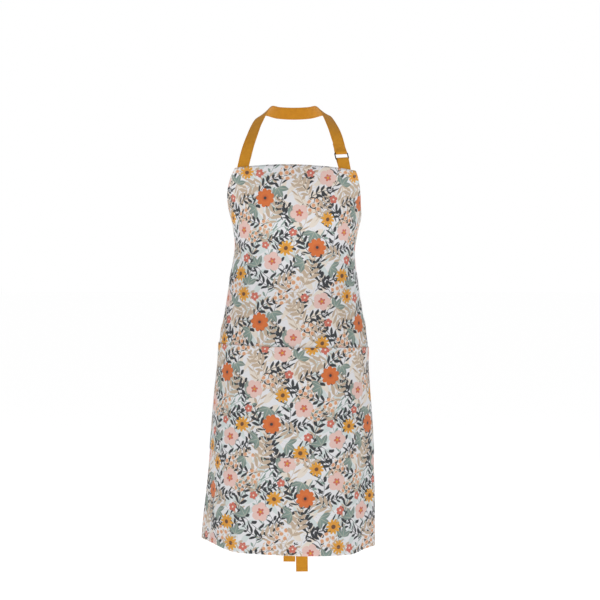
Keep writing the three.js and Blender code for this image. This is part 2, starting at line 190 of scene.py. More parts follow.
CREASES = (
    Crease(-0.1, 0.06, 62, 0.1, 0.012, 0.0012),
    Crease(0.1, 0.065, -60, 0.1, 0.012, 0.0012),
    Crease(-0.07, 0.17, 20, 0.08, 0.014, 0.001),
    Crease(0.06, 0.2, -14, 0.09, 0.014, 0.0012),
    Crease(0.17, 0.27, -24, 0.1, 0.013, 0.0016),
    Crease(-0.18, 0.26, 24, 0.1, 0.013, 0.0016),
    Crease(0.27, 0.33, -38, 0.1, 0.012, 0.0022),
    Crease(-0.28, 0.33, 38, 0.1, 0.012, 0.0022),
    Crease(0.3, 0.3, -12, 0.08, 0.01, 0.0018),
    Crease(-0.3, 0.3, 12, 0.08, 0.01, 0.0018),
    Crease(0.12, 0.62, 86, 0.16, 0.02, 0.0018),
    Crease(-0.13, 0.6, 94, 0.16, 0.022, 0.0018),
    Crease(0.02, 0.74, 88, 0.12, 0.018, -0.0016),
    Crease(0.19, 0.76, 91, 0.12, 0.012, -0.0026),
    Crease(-0.2, 0.76, 86, 0.12, 0.016, -0.002),
)


@dataclass(frozen=True)
class Cut:
    """The flat sizes of the apron's one piece of cloth."""

    length: float = 0.872
    width: float = 0.73
    bib_width: float = 0.28
    bib_height: float = 0.29
    armhole_curve: float = 1.05
    cloth: float = 0.0012
    top_hem: float = 0.025
    bottom_hem: float = 0.02
    side_hem: float = 0.01

    def half_width(self, down: Array) -> Array:
        """Half the flat width at a distance down from the bib's top edge.

        Args:
            down: Flat distances down.

        Returns:
            The half widths there.
        """
        share = np.clip(down / self.bib_height, 0, 1)
        return (self.bib_width + (self.width - self.bib_width) * share**self.armhole_curve) / 2


@dataclass
class Drape:
    """How the flat cloth hangs: the same form as the solids of the frame, with finer creases."""

    cut: Cut
    nape: Triple = (-0.004, 0.0732, 0.126)
    top_arch: float = 0.01
    slant: float = 0.008
    hem_lift: float = 0.012
    lift_reach: int = 8
    lift_from: float = 0.36
    lift_to: float = 0.6
    turn_at_hem: float = -0.042
    rows: int = 873
    reach: float = 0.46
    steps: int = 921
    angles: int = 361
    nudge: float = 0.001
    table_x: Array = field(init=False, repr=False)
    table_y: Array = field(init=False, repr=False)
    heights: Array = field(init=False, repr=False)

    def __post_init__(self) -> None:
        """Works out the level outlines, each walked by its own length."""
        downs = np.linspace(0, self.cut.length, self.rows)
        left, right, front, back = (
            self.section_size(name, downs) for name in ("left", "right", "front", "back")
        )
        lean = np.diff(front)
        step = np.diff(downs)
        fall = np.sqrt(np.maximum(step**2 - lean**2, 0))
        self.heights = -np.concatenate([[0], np.cumsum(fall)])
        angle = np.linspace(0, math.pi, self.angles)
        along = np.linspace(-self.reach, self.reach, self.steps)
        self.table_x = np.zeros((self.rows, self.steps))
        self.table_y = np.zeros((self.rows, self.steps))
        for row in range(self.rows):
            y = -np.cos(angle) * np.where(np.cos(angle) > 0, front[row], back[row])
            for side, half in ((-1, left[row]), (1, right[row])):
                x = np.sin(angle) * half
                walked = np.concatenate([[0], np.cumsum(np.hypot(np.diff(x), np.diff(y)))])
                here = (along * side) >= 0
                self.table_x[row, here] = side * np.interp(abs(along[here]), walked, x)
                self.table_y[row, here] = np.interp(abs(along[here]), walked, y)

    def section_size(self, name: str, down: Array) -> Array:
        """Reads one column of the sections on a smooth curve.

        Args:
            name: The column.
            down: Flat distances down.

        Returns:
            The sizes in metres.
        """
        keys = np.array([s.down for s in SECTIONS])
        values = np.array([getattr(s, name) for s in SECTIONS])
        before = np.maximum(np.arange(len(keys)) - 1, 0)
        after = np.minimum(np.arange(len(keys)) + 1, len(keys) - 1)
        slope = (values[after] - values[before]) / (keys[after] - keys[before])
        at = np.clip(np.asarray(down, float) / self.cut.length, 0, 1)
        i = np.clip(np.searchsorted(keys, at, side="left") - 1, 0, len(keys) - 2)
        step = keys[i + 1] - keys[i]
        t = np.clip((at - keys[i]) / step, 0, 1)
        rise = smooth(t)
        bend = step * (slope[i] * t * (1 - t) ** 2 - slope[i + 1] * t * t * (1 - t))
        return self.cut.width * (values[i] * (1 - rise) + values[i + 1] * rise + bend)

    def height(self, down: Array) -> Array:
        """Height of the middle of the front, from the bib's top edge.

        Args:
            down: Flat distances down.

        Returns:
            The heights, which are negative.
        """
        return np.interp(down, np.linspace(0, self.cut.length, self.rows), self.heights)

    def bare(self, across: Array, down: Array) -> Array:
        """The cloth's outer face before folds and creases.

        Args:
            across: Flat distances across from the middle.
            down: Flat distances down.

        Returns:
            An array of points.
        """
        share = down / self.cut.length
        along = across + self.turn_at_hem * share
        column = np.clip((along + self.reach) / (2 * self.reach), 0, 1) * (self.steps - 1)
        row = np.clip(share, 0, 1) * (self.rows - 1)
        c = np.minimum(column.astype(int), self.steps - 2)
        r = np.minimum(row.astype(int), self.rows - 2)
        s, t = column - c, row - r

        def read(table: Array) -> Array:
            """Reads a table between its rows and columns.

            Args:
                table: The table.

            Returns:
                Its values at the wanted places.
            """
            upper = table[r, c] * (1 - s) + table[r, c + 1] * s
            lower = table[r + 1, c] * (1 - s) + table[r + 1, c + 1] * s
            return upper * (1 - t) + lower * t

        aside = across / self.cut.half_width(down)
        arch = self.top_arch * aside**2 * np.maximum(1 - down / self.cut.bib_height, 0) ** 2
        round_body = 2 * along / self.cut.width
        span = self.lift_to - self.lift_from
        at_side = smooth(np.clip((abs(round_body) - self.lift_from) / span, 0, 1))
        lift = self.hem_lift * at_side * share**self.lift_reach
        z = self.height(down) - arch - self.slant * round_body + lift
        return np.stack([read(self.table_x), read(self.table_y), z], axis=-1)

    def relief(self, across: Array, down: Array) -> Array:
        """How far folds and creases stand out from the bare cloth.

        Args:
            across: Flat distances across from the middle.
            down: Flat distances down.

        Returns:
            Distances outward.
        """
        share = across / self.cut.half_width(down)
        total = np.zeros_like(across)
        for fold in FOLDS:
            grown = np.clip((down / self.cut.length - fold.start) / (1 - fold.start), 0, 1)
            away = (share - fold.across) / fold.spread
            total += self.cut.width * fold.depth * smooth(grown) * np.exp(-(away**2))
        for crease in CREASES:
            turn = math.radians(crease.turn)
            dx, dy = across - crease.across, down - crease.down
            along = dx * math.cos(turn) + dy * math.sin(turn)
            aside = dy * math.cos(turn) - dx * math.sin(turn)
            ridge = np.exp(-((aside / crease.width) ** 2) - (along / crease.length) ** 4)
            total += crease.depth * ridge
        return total

    def normals(self, across: Array, down: Array, folded: bool) -> Array:
        """Outward directions of the cloth.

        Args:
            across: Flat distances across from the middle.
            down: Flat distances down.
            folded: Whether folds and creases count.

        Returns:
            An array of unit vectors.
        """
        surface = self.folded if folded else self.bare
        top = np.maximum(down - self.nudge, 0)
        bottom = np.minimum(down + self.nudge, self.cut.length)
        sideways = surface(across + self.nudge, down) - surface(across - self.nudge, down)
        downward = surface(across, bottom) - surface(across, top)
        return unit(np.cross(downward, sideways))

    def folded(self, across: Array, down: Array) -> Array:
        """The cloth's outer face with its folds and creases.

        Args:
            across: Flat distances across from the middle.
            down: Flat distances down.

        Returns:
            An array of points.
        """
        relief = self.relief(across, down)[..., None]
        return self.bare(across, down) + self.normals(across, down, False) * relief

    def place(self, across: Array, down: Array, outward: Array | float = 0.0) -> Array:
        """Places on the cloth in the frame of the part.

        Args:
            across: Flat distances across from the middle.
            down: Flat distances down.
            outward: Distances outward from the outer face.

        Returns:
            An array of points.
        """
        across, down = np.broadcast_arrays(np.asarray(across, float), np.asarray(down, float))
        out = self.normals(across, down, True) * np.asarray(outward)[..., None]
        return self.folded(across, down) + out - np.array(self.nape)


class Wire:
    """One number or vector of a shader, for sums written as Python expressions."""

    def __init__(self, board: Board, socket: bpy.types.NodeSocket) -> None:
        """Keeps the socket and the board that it is on.

        Args:
            board: The board that adds nodes.
            socket: An output socket.
        """
        self.board = board
        self.socket = socket

    def _math(self, operation: str, *values: Wire | float, clamp: bool = False) -> Wire:
        """Adds one Math node.

        Args:
            operation: The node's operation.
            values: Its inputs in order.
            clamp: Whether the result is kept between 0 and 1.

        Returns:
            The result.
        """
        settings = {"operation": operation, "use_clamp": clamp}
        return self.board.node("ShaderNodeMath", settings, dict(enumerate(values)))

    def __add__(self, other: Wire | float) -> Wire:
        """Adds."""
        return self._math("ADD", self, other)

    __radd__ = __add__

    def __sub__(self, other: Wire | float) -> Wire:
        """Subtracts."""
        return self._math("SUBTRACT", self, other)

    def __rsub__(self, other: Wire | float) -> Wire:
        """Subtracts this from a number."""
        return self._math("SUBTRACT", other, self)

    def __mul__(self, other: Wire | float) -> Wire:
        """Multiplies."""
        return self._math("MULTIPLY", self, other)

    __rmul__ = __mul__

    def __truediv__(self, other: Wire | float) -> Wire:
        """Divides."""
        return self._math("DIVIDE", self, other)

    def __pow__(self, other: float) -> Wire:
        """Raises to a power."""
        return self._math("POWER", self, other)

    def __abs__(self) -> Wire:
        """Drops the sign."""
        return self._math("ABSOLUTE", self)

    def cos(self) -> Wire:
        """Cosine."""
        return self._math("COSINE", self)

    def sin(self) -> Wire:
        """Sine."""
        return self._math("SINE", self)

    def least(self, other: Wire | float) -> Wire:
        """The smaller of two."""
        return self._math("MINIMUM", self, other)

    def most(self, other: Wire | float) -> Wire:
        """The larger of two."""
        return self._math("MAXIMUM", self, other)

    def over(self, limit: float) -> Wire:
        """1 where the value is over a limit, else 0."""
        return self._math("GREATER_THAN", self, limit)

    def angle_with(self, other: Wire) -> Wire:
        """Angle of the point whose up is this and whose across is the other."""
        return self._math("ARCTAN2", self, other)

    def wrapped(self, low: float, high: float) -> Wire:
        """Repeats the value between two limits."""
        return self._math("WRAP", self, high, low)

    def edge(self, softness: float = 0.0005) -> Wire:
        """Turns a depth inside an outline into a mask with a soft edge.

        Args:
            softness: The edge's width in metres.

        Returns:
            A mask from 0 outside to 1 inside.
        """
        halfway = 0.5
        return self._math("MULTIPLY_ADD", self, 1 / softness, halfway, clamp=True)


class Board:
    """A node tree, with one method that adds any node."""

    def __init__(self, tree: bpy.types.NodeTree, owner: bpy.types.Material | None = None) -> None:
        """Starts from an empty tree.

        Args:
            tree: The tree.
            owner: The material that it belongs to, if it is not a group.
        """
        self.tree = tree
        self.owner = owner

    @classmethod
    def of_material(cls, name: str) -> Board:
        """Starts a new material.

        Args:
            name: The material's name.

        Returns:
            Its board.
        """
        material = bpy.data.materials.new(name)
        material.use_nodes = True
        material.node_tree.nodes.clear()
        return cls(material.node_tree, material)

    @classmethod
    def of_group(cls, name: str, sockets: dict[str, str]) -> tuple[Board, dict[str, Wire]]:
        """Starts a group that returns one colour.

        Args:
            name: The group's name.
            sockets: Its inputs and their types.

        Returns:
            Its board, and a wire for each input.
        """
        tree = bpy.data.node_groups.new(name, "ShaderNodeTree")
        for label, kind in sockets.items():
            tree.interface.new_socket(label, in_out="INPUT", socket_type=kind)
        tree.interface.new_socket("Colour", in_out="OUTPUT", socket_type="NodeSocketColor")
        board = cls(tree)
        start = tree.nodes.new("NodeGroupInput")
        return board, {label: Wire(board, start.outputs[label]) for label in sockets}

    def close(self, colour: Wire) -> bpy.types.NodeTree:
        """Ends a group with its colour.

        Args:
            colour: The colour to return.

        Returns:
            The group's tree.
        """
        end = self.tree.nodes.new("NodeGroupOutput")
        self.tree.links.new(colour.socket, end.inputs["Colour"])
        return self.tree

    def node(
        self,
        kind: str,
        settings: dict[str, object] | None = None,
        inputs: dict[int | str, object] | None = None,
        output: int | str = 0,
    ) -> Wire:
        """Adds a node, sets it and links its inputs.

        Args:
            kind: The node's type.
            settings: Its own settings, set first.
            inputs: Values or wires by input socket.
            output: The output socket to return.

        Returns:
            The chosen output.
        """
        made = self.tree.nodes.new(kind)
        for name, value in (settings or {}).items():
            setattr(made, name, value)
        for key, value in (inputs or {}).items():
            if isinstance(value, Wire):
                self.tree.links.new(value.socket, made.inputs[key])
            else:
                made.inputs[key].default_value = value
        return Wire(self, made.outputs[output] if made.outputs else None)

    def mix(self, under: Wire | Colour, over: Wire | Colour, factor: Wire | float) -> Wire:
        """Lays one colour over another, as far as a factor says."""
        return self.node("ShaderNodeMix", {"data_type": "RGBA"}, {0: factor, 6: under, 7: over}, 2)

    def vector(self, operation: str, *values: Wire | Triple) -> Wire:
        """Adds one Vector Math node."""
        return self.node("ShaderNodeVectorMath", {"operation": operation}, dict(enumerate(values)))

    def split(self, vector: Wire) -> tuple[Wire, Wire]:
        """Splits a vector into its first two numbers."""
        x = self.node("ShaderNodeSeparateXYZ", {}, {0: vector})
        return x, Wire(self, x.socket.node.outputs[1])

    def flat(self) -> Wire:
        """The piece's own flat coordinates in metres."""
        return self.node("ShaderNodeUVMap", {"uv_map": FLAT})

    def place(self) -> Wire:
        """The piece's own coordinates in metres."""
        return self.node("ShaderNodeTexCoord", {}, {}, "Object")

    def noise(self, where: Wire, scale: float, detail: float = 2.0, output: str = "Fac") -> Wire:
        """Smooth noise around a half, with a number of features in a metre."""
        inputs = {"Vector": where, "Scale": scale, "Detail": detail}
        return self.node("ShaderNodeTexNoise", {}, inputs, output)

    def finish(
        self,
        colour: Wire,
        roughness: Wire | float,
        height: Wire,
        depth: float,
        fixed: dict[str, object] | None = None,
    ) -> bpy.types.Material:
        """Closes the material with one surface shader.

        Args:
            colour: Base colour.
            roughness: Roughness.
            height: Height of the bump, from 0 to 1.
            depth: What a height of 1 measures in metres.
            fixed: Values that are the same all over, by socket name.

        Returns:
            The material.
        """
        bump = self.node("ShaderNodeBump", {}, {"Height": height, "Distance": depth, "Strength": 1.0})
        inputs = {"Base Color": colour, "Roughness": roughness, "Normal": bump, **(fixed or {})}
        surface = self.node("ShaderNodeBsdfPrincipled", {}, inputs)
        out = self.tree.nodes.new("ShaderNodeOutputMaterial")
        self.tree.links.new(surface.socket, out.inputs["Surface"])
        return self.owner


class Motif(Enum):
    """The kinds of figure in the print."""

    ROSETTE = "rosette"
    DAISY = "daisy"
    BLOOM = "bloom"
    BLOSSOM = "blossom"
    LEAVES = "leaves"
    SPRIG = "sprig"
    FROND = "frond"
    BERRIES = "berries"


@dataclass(frozen=True)
class Placed:
    """One figure of the print's repeat: its kind, middle in millimetres, turn and scale."""

    motif: Motif
    x: float
    y: float
    turn: float = 0.0
    scale: float = 1.0


PRINT_REPEAT = (0.25, 0.28)


@dataclass(frozen=True)
class Vine:
    """A winding stem that runs through the repeat, with leaves on both sides.

    Millimetres. level is its place across its run, sway how far it winds, and waves how often.
    """

    tone: str
    upright: bool
    level: float
    sway: float
    waves: int
    start: float
    leaves: int
    leaf: float
    width: float


VINES = (
    Vine("cream", True, 45, 16, 1, 0.7, 9, 36, 19.0),
    Vine("mist", False, 75, 18, 1, 2.0, 8, 34, 18.0),
    Vine("cream", False, 215, -16, 1, 3.1, 8, 36, 19.0),
    Vine("mist", True, 170, 14, 1, 4.4, 9, 34, 18.0),
    Vine("beige", True, 18, 13, 2, 0.4, 16, 14, 6.4),
    Vine("beige", True, 143, -14, 2, 1.3, 16, 14, 6.4),
    Vine("sage", False, 128, 15, 2, 2.2, 14, 14, 6.0),
    Vine("sage", True, 205, 12, 2, 0.0, 16, 12, 5.6),
    Vine("beige", False, 262, 12, 2, 0.9, 15, 13, 6.0),
    Vine("dark", True, 80, 20, 2, 2.6, 16, 16, 8.0),
    Vine("dark", False, 38, 17, 2, 0.2, 14, 16, 8.0),
    Vine("dark", False, 182, -18, 2, 1.8, 14, 16, 8.0),
    Vine("dark", True, 232, -14, 2, 3.9, 16, 14, 7.0),
    Vine("dark", False, 108, 14, 2, 5.2, 13, 13, 6.6),
)

PRINT = (
    Placed(Motif.FROND, 235, 15, 30, 1.0),
    Placed(Motif.FROND, 120, 215, 300, 1.0),
    Placed(Motif.FROND, 70, 185, 70, 1.0),
    Placed(Motif.FROND, 185, 120, 140, 1.0),
    Placed(Motif.FROND, 130, 150, 20, 0.9),
    Placed(Motif.SPRIG, 55, 60, 100, 1.0),
    Placed(Motif.SPRIG, 140, 205, 15, 1.0),
    Placed(Motif.SPRIG, 225, 180, 120, 1.0),
    Placed(Motif.SPRIG, 10, 60, 60, 0.9),
    Placed(Motif.SPRIG, 118, 90, 20, 0.9),
    Placed(Motif.SPRIG, 30, 250, 75, 0.95),
    Placed(Motif.SPRIG, 150, 30, 55, 0.9),
    Placed(Motif.FROND, 45, 38, 75, 1.1),
    Placed(Motif.FROND, 96, 82, 160, 1.0),
    Placed(Motif.FROND, 205, 172, 60, 1.1),
    Placed(Motif.FROND, 150, 232, 200, 1.0),
    Placed(Motif.FROND, 20, 235, 130, 1.0),
    Placed(Motif.SPRIG, 88, 20, 25, 1.1),
    Placed(Motif.SPRIG, 25, 105, 115, 1.1),
    Placed(Motif.SPRIG, 160, 92, 70, 1.15),
    Placed(Motif.SPRIG, 100, 178, 140, 1.1),
    Placed(Motif.SPRIG, 190, 240, 40, 1.1),
    Placed(Motif.SPRIG, 62, 222, 20, 1.0),
    Placed(Motif.SPRIG, 190, 12, 150, 0.95),
    Placed(Motif.SPRIG, 222, 118, 10, 0.95),
    Placed(Motif.SPRIG, 160, 150, 165, 1.0),
    Placed(Motif.LEAVES, 30, 62, 200, 1.0),
    Placed(Motif.LEAVES, 92, 52, 330, 1.0),
    Placed(Motif.LEAVES, 172, 50, 120, 1.0),
    Placed(Motif.LEAVES, 50, 132, 250, 1.05),
    Placed(Motif.LEAVES, 165, 182, 210, 1.0),
    Placed(Motif.LEAVES, 212, 228, 300, 1.0),
    Placed(Motif.LEAVES, 110, 240, 60, 1.0),
    Placed(Motif.LEAVES, 240, 165, 20, 0.95),
    Placed(Motif.LEAVES, 150, 8, 80, 0.95),
    Placed(Motif.BERRIES, 112, 4, 15, 1.0),
    Placed(Motif.BERRIES, 8, 15, 40, 1.0),
    Placed(Motif.BERRIES, 130, 165, 70, 1.0),
    Placed(Motif.BERRIES, 188, 140, 20, 1.0),
    Placed(Motif.BERRIES, 45, 190, 55, 1.0),
    Placed(Motif.BERRIES, 232, 262, 10, 1.0),
    Placed(Motif.BERRIES, 155, 118, 35, 0.9),
    Placed(Motif.BLOSSOM, 140, 68, 10, 1.2),
    Placed(Motif.BLOSSOM, 2, 128, 30, 1.1),
    Placed(Motif.BLOSSOM, 190, 98, 0, 1.1),
    Placed(Motif.BLOSSOM, 92, 206, 20, 1.2),
    Placed(Motif.BLOSSOM, 170, 262, 60, 1.2),
    Placed(Motif.BLOSSOM, 35, 262, 15, 1.1),
    Placed(Motif.DAISY, 125, 32, 0, 1.05),
    Placed(Motif.DAISY, 80, 160, 25, 1.0),
    Placed(Motif.DAISY, 238, 92, 12, 1.05),
    Placed(Motif.DAISY, 140, 266, 40, 1.0),
    Placed(Motif.BLOOM, 128, 132, 15, 1.05),
    Placed(Motif.BLOOM, 14, 172, 50, 1.0),
    Placed(Motif.BLOOM, 208, 62, 80, 1.05),
    Placed(Motif.BLOOM, 75, 254, 0, 1.0),
    Placed(Motif.ROSETTE, 58, 95, 0, 1.0),
    Placed(Motif.ROSETTE, 185, 205, 18, 1.0),
)


@dataclass(frozen=True)
class Spot:
    """A figure's own place: distances from its middle, turned and scaled with it."""

    x: Wire
    y: Wire

    def far(self) -> Wire:
        """Distance from the middle."""
        return (self.x * self.x + self.y * self.y) ** 0.5

    def angle(self) -> Wire:
        """Angle about the middle."""
        return self.y.angle_with(self.x)

    def each(self, pitch: float) -> Spot:
        """The same place repeated on a small square grid."""
        half = pitch / 2
        return Spot(self.x.wrapped(-half, half), self.y.wrapped(-half, half))

    @staticmethod
    def petals(far: Wire, angle: Wire, count: int, reach: float, depth: float, sharp: float) -> Wire:
        """Depth inside a ring of petals.

        Args:
            far: Distance from the middle.
            angle: Angle about the middle.
            count: How many petals.
            reach: Distance to a petal's tip.
            depth: Share of the reach that the gaps cut in.
            sharp: Power that shapes the gaps.

        Returns:
            The depth, positive inside.
        """
        wave = abs((angle * (count / 2)).cos()) ** sharp
        return wave * (reach * depth) + reach * (1 - depth) - far

    def stalk(self, length: float, bend: float, pitch: float, leaf: float, width: float) -> Wire:
        """Depth inside a bent stalk with leaves on both sides.

        Args:
            length: Length of the stalk.
            bend: How strongly it curves.
            pitch: Distance of the leaves along it.
            leaf: Length of a leaf.
            width: Half the width of a leaf.

        Returns:
            The depth, positive inside.
        """
        aside = abs(self.y + self.x * self.x * bend)
        within = length / 2 - abs(self.x)
        stem = (0.0006 - aside).least(within)
        taper = (within * (2 / length)).most(0.001) ** 0.45
        middle = abs((self.x - aside * 0.75).wrapped(-pitch / 2, pitch / 2))
        swell = (aside * (math.pi / leaf) / taper).sin() * taper * width
        return stem.most((swell - middle).least(taper * leaf - aside))


@dataclass(frozen=True)
class PrintedCotton:
    """Plain-woven cotton with a generic floral print, its wrong side pale."""

    ground: Colour = srgb(236, 235, 238)
    cream: Colour = srgb(235, 224, 211)
    mist: Colour = srgb(214, 223, 222)
    orange: Colour = srgb(226, 116, 36)
    deep_orange: Colour = srgb(186, 72, 18)
    ochre: Colour = srgb(228, 164, 36)
    brown: Colour = srgb(104, 66, 30)
    pink: Colour = srgb(236, 202, 193)
    coral: Colour = srgb(208, 108, 88)
    sage: Colour = srgb(138, 160, 150)
    dark: Colour = srgb(34, 39, 43)
    beige: Colour = srgb(198, 176, 152)
    peach: Colour = srgb(222, 160, 118)
    halo: Colour = srgb(240, 222, 206)
    unevenness: float = 0.003
    ink: float = 0.9
    seen_through: float = 0.2

    def material(self) -> bpy.types.Material:
        """Builds the material.

        Returns:
            The finished material.
        """
        board = Board.of_material("printed_cotton")
        flat = board.flat()
        waver = board.vector("SUBTRACT", board.noise(flat, 60.0, 1.0, "Color"), (0.5, 0.5, 0.5))
        by_hand = (self.unevenness, self.unevenness, 0.0)
        x, y = board.split(board.vector("MULTIPLY_ADD", waver, by_hand, flat))
        colour: Wire | Colour = self.ground
        runs = {upright: self._vine_group(upright) for upright in (False, True)}
        for vine in VINES:
            inputs = {
                "X": x, "Y": y, "Under": colour, "Tone": getattr(self, vine.tone),
                "Level": vine.level / 1000, "Sway": vine.sway / 1000, "Start": vine.start,
                "Waves": float(vine.waves), "Leaves": float(vine.leaves),
                "Leaf": vine.leaf / 1000, "Width": vine.width / 2000,
            }
            colour = board.node("ShaderNodeGroup", {"node_tree": runs[vine.upright]}, inputs)
        figures = {motif: self._figure_group(motif) for motif in Motif}
        for placed in PRINT:
            turn = math.radians(placed.turn)
            inputs = {
                "X": x, "Y": y, "Under": colour,
                "Across": placed.x / 1000, "Up": placed.y / 1000,
                "Cos": math.cos(turn) / placed.scale, "Sin": math.sin(turn) / placed.scale,
            }
            colour = board.node("ShaderNodeGroup", {"node_tree": figures[placed.motif]}, inputs)
        ink = board.noise(flat, 900.0, 1.0) * (1 - self.ink) + self.ink
        inked = board.mix(self.ground, colour, ink)
        inside = board.node("ShaderNodeAttribute", {"attribute_name": INSIDE}, {}, "Fac")
        sided = board.mix(inked, board.mix(self.ground, inked, self.seen_through), inside)
        fixed = {"Sheen Weight": 0.12, "Specular IOR Level": 0.25}
        return board.finish(sided, 0.9, self.weave(board, flat), 0.00012, fixed)

    @staticmethod
    def weave(board: Board, flat: Wire, pitch: float = 0.0007) -> Wire:
        """Height of a plain weave.

        Args:
            board: The material's board.
            flat: Flat coordinates.
            pitch: Distance of the threads.

        Returns:
            A height from 0 to 1.
        """
        x, y = board.split(flat)
        turn = FULL_TURN / pitch
        crossing = (x * turn).sin() * (y * turn).sin()
        return crossing * 0.3 + board.noise(flat, 220.0) * 0.7

    def _figure_group(self, motif: Motif) -> bpy.types.NodeTree:
        """Makes the group that draws one kind of figure over what is below it.

        Args:
            motif: The kind.

        Returns:
            The group.
        """
        numbers = ("X", "Y", "Across", "Up", "Cos", "Sin")
        sockets = {"Under": TINT, **dict.fromkeys(numbers, NUMBER)}
        board, given = Board.of_group(f"figure_{motif.value}", sockets)
        width, height = PRINT_REPEAT
        across = (given["X"] - given["Across"]).wrapped(-width / 2, width / 2)
        up = (given["Y"] - given["Up"]).wrapped(-height / 2, height / 2)
        cos, sin = given["Cos"], given["Sin"]
        spot = Spot(across * cos + up * sin, up * cos - across * sin)
        draw = {
            Motif.ROSETTE: self._rosette,
            Motif.DAISY: self._daisy,
            Motif.BLOOM: self._bloom,
            Motif.BLOSSOM: self._blossom,
            Motif.LEAVES: self._leaves,
            Motif.SPRIG: self._sprig,
            Motif.FROND: self._frond,
            Motif.BERRIES: self._berries,
        }[motif]
        return board.close(draw(board, spot, given["Under"]))

    def _vine_group(self, upright: bool) -> bpy.types.NodeTree:
        """Makes the group that draws a winding stem and its leaves over what is below it.

        Args:
            upright: Whether the stem runs up instead of across.

        Returns:
            The group.
        """
        numbers = ("X", "Y", "Level", "Sway", "Start", "Waves", "Leaves", "Leaf", "Width")
        sockets = {"Under": TINT, "Tone": TINT, **dict.fromkeys(numbers, NUMBER)}
        board, given = Board.of_group("vine_up" if upright else "vine_across", sockets)
        width, height = PRINT_REPEAT
        run, over = (given["Y"], given["X"]) if upright else (given["X"], given["Y"])
        span, repeat = (height, width) if upright else (width, height)
        winding = (run * given["Waves"] * (FULL_TURN / span) + given["Start"]).sin() * given["Sway"]
        aside = (over - winding - given["Level"]).wrapped(-repeat / 2, repeat / 2)
        far = abs(aside)
        turned = (run - far * 0.8) * given["Leaves"] * (1 / span) + aside.over(0.0) * 0.5
        middle = abs(turned.wrapped(-0.5, 0.5)) * span / given["Leaves"]
        stem, clear = 0.00055, 0.0008
        swell = ((far - clear).most(0.0) * math.pi / given["Leaf"]).sin() * given["Width"]
        depth = (swell - middle).least(given["Leaf"] - far).most(stem - far)
        return board.close(board.mix(given["Under"], given["Tone"], depth.edge()))

    def _rosette(self, board: Board, spot: Spot, under: Wire | Colour) -> Wire:
        """A large orange bloom of two rings of petals.

        Args:
            board: The group's board.
            spot: The figure's own place.
            under: The colour below it.

        Returns:
            The colour with the figure on it.
        """
        far, angle = spot.far(), spot.angle()
        outer = spot.petals(far, angle, count=9, reach=0.0215, depth=0.26, sharp=0.6)
        rays = abs((angle * 18).sin()) * far * 20.0
        petal = board.mix(self.orange, self.deep_orange, rays.least(0.4))
        colour = board.mix(under, petal, outer.edge())
        inner = spot.petals(far, angle + 0.4, count=7, reach=0.0125, depth=0.3, sharp=0.6)
        core = board.mix(self.deep_orange, self.orange, (far * 90.0).least(0.9))
        colour = board.mix(colour, core, inner.edge())
        return board.mix(colour, self.dark, (0.0034 - far).edge())

    def _daisy(self, board: Board, spot: Spot, under: Wire | Colour) -> Wire:
        """An ochre daisy with a brown eye.

        Args:
            board: The group's board.
            spot: The figure's own place.
            under: The colour below it.

        Returns:
            The colour with the figure on it.
        """
        far, angle = spot.far(), spot.angle()
        petal = spot.petals(far, angle, count=10, reach=0.0165, depth=0.45, sharp=0.8)
        tone = board.mix(self.ochre, self.orange, (0.5 - far * 34.0).most(0.0))
        colour = board.mix(under, tone, petal.edge())
        return board.mix(colour, self.brown, (0.0044 - far).edge())

    def _bloom(self, board: Board, spot: Spot, under: Wire | Colour) -> Wire:
        """A pink bloom of five broad petals.

        Args:
            board: The group's board.
            spot: The figure's own place.
            under: The colour below it.

        Returns:
            The colour with the figure on it.
        """
        far, angle = spot.far(), spot.angle()
        petal = spot.petals(far, angle, count=5, reach=0.0205, depth=0.3, sharp=0.5)
        veins = abs((angle * 10).sin()) * 0.3
        tone = board.mix(self.pink, self.coral, veins * (far * 46.0).least(1.0) * 0.4)
        colour = board.mix(under, tone, petal.edge())
        heart = spot.petals(far, angle + 0.63, count=5, reach=0.0085, depth=0.5, sharp=0.9)
        colour = board.mix(colour, self.coral, heart.edge())
        return board.mix(colour, self.ochre, (0.0025 - far).edge())

    def _blossom(self, board: Board, spot: Spot, under: Wire | Colour) -> Wire:
        """A small coral blossom with a pale eye.

        Args:
            board: The group's board.
            spot: The figure's own place.
            under: The colour below it.

        Returns:
            The colour with the figure on it.
        """
        far, angle = spot.far(), spot.angle()
        petal = spot.petals(far, angle, count=5, reach=0.0085, depth=0.35, sharp=0.7)
        colour = board.mix(under, self.coral, petal.edge())
        return board.mix(colour, self.halo, (0.0019 - far).edge())

    def _leaves(self, board: Board, spot: Spot, under: Wire | Colour) -> Wire:
        """A fan of three sage leaves with pale midribs.

        Args:
            board: The group's board.
            spot: The figure's own place.
            under: The colour below it.

        Returns:
            The colour with the figure on it.
        """
        far, angle = spot.far(), spot.angle()
        each, length = math.radians(52), 0.027
        aside = abs(angle.wrapped(-each / 2, each / 2)) * far
        swell = (far * (math.pi / length)).sin() * 0.0062
        in_fan = (each * 1.5 - abs(angle)) * 0.02
        depth = (swell - aside).least(in_fan).least(length - far)
        rib = (0.00035 - aside).edge(0.0003) * 0.6
        tone = board.mix(self.sage, self.dark, (far * 14.0).least(0.3))
        tone = board.mix(tone, self.halo, rib)
        return board.mix(under, tone, depth.edge())

    def _sprig(self, board: Board, spot: Spot, under: Wire | Colour) -> Wire:
        """A dark stalk with small paired leaves."""
        depth = spot.stalk(length=0.066, bend=7.0, pitch=0.013, leaf=0.0155, width=0.0047)
        return board.mix(under, self.dark, depth.edge())

    def _frond(self, board: Board, spot: Spot, under: Wire | Colour) -> Wire:
        """A broad beige frond."""
        depth = spot.stalk(length=0.07, bend=-6.0, pitch=0.0125, leaf=0.021, width=0.0054)
        return board.mix(under, self.beige, depth.edge())

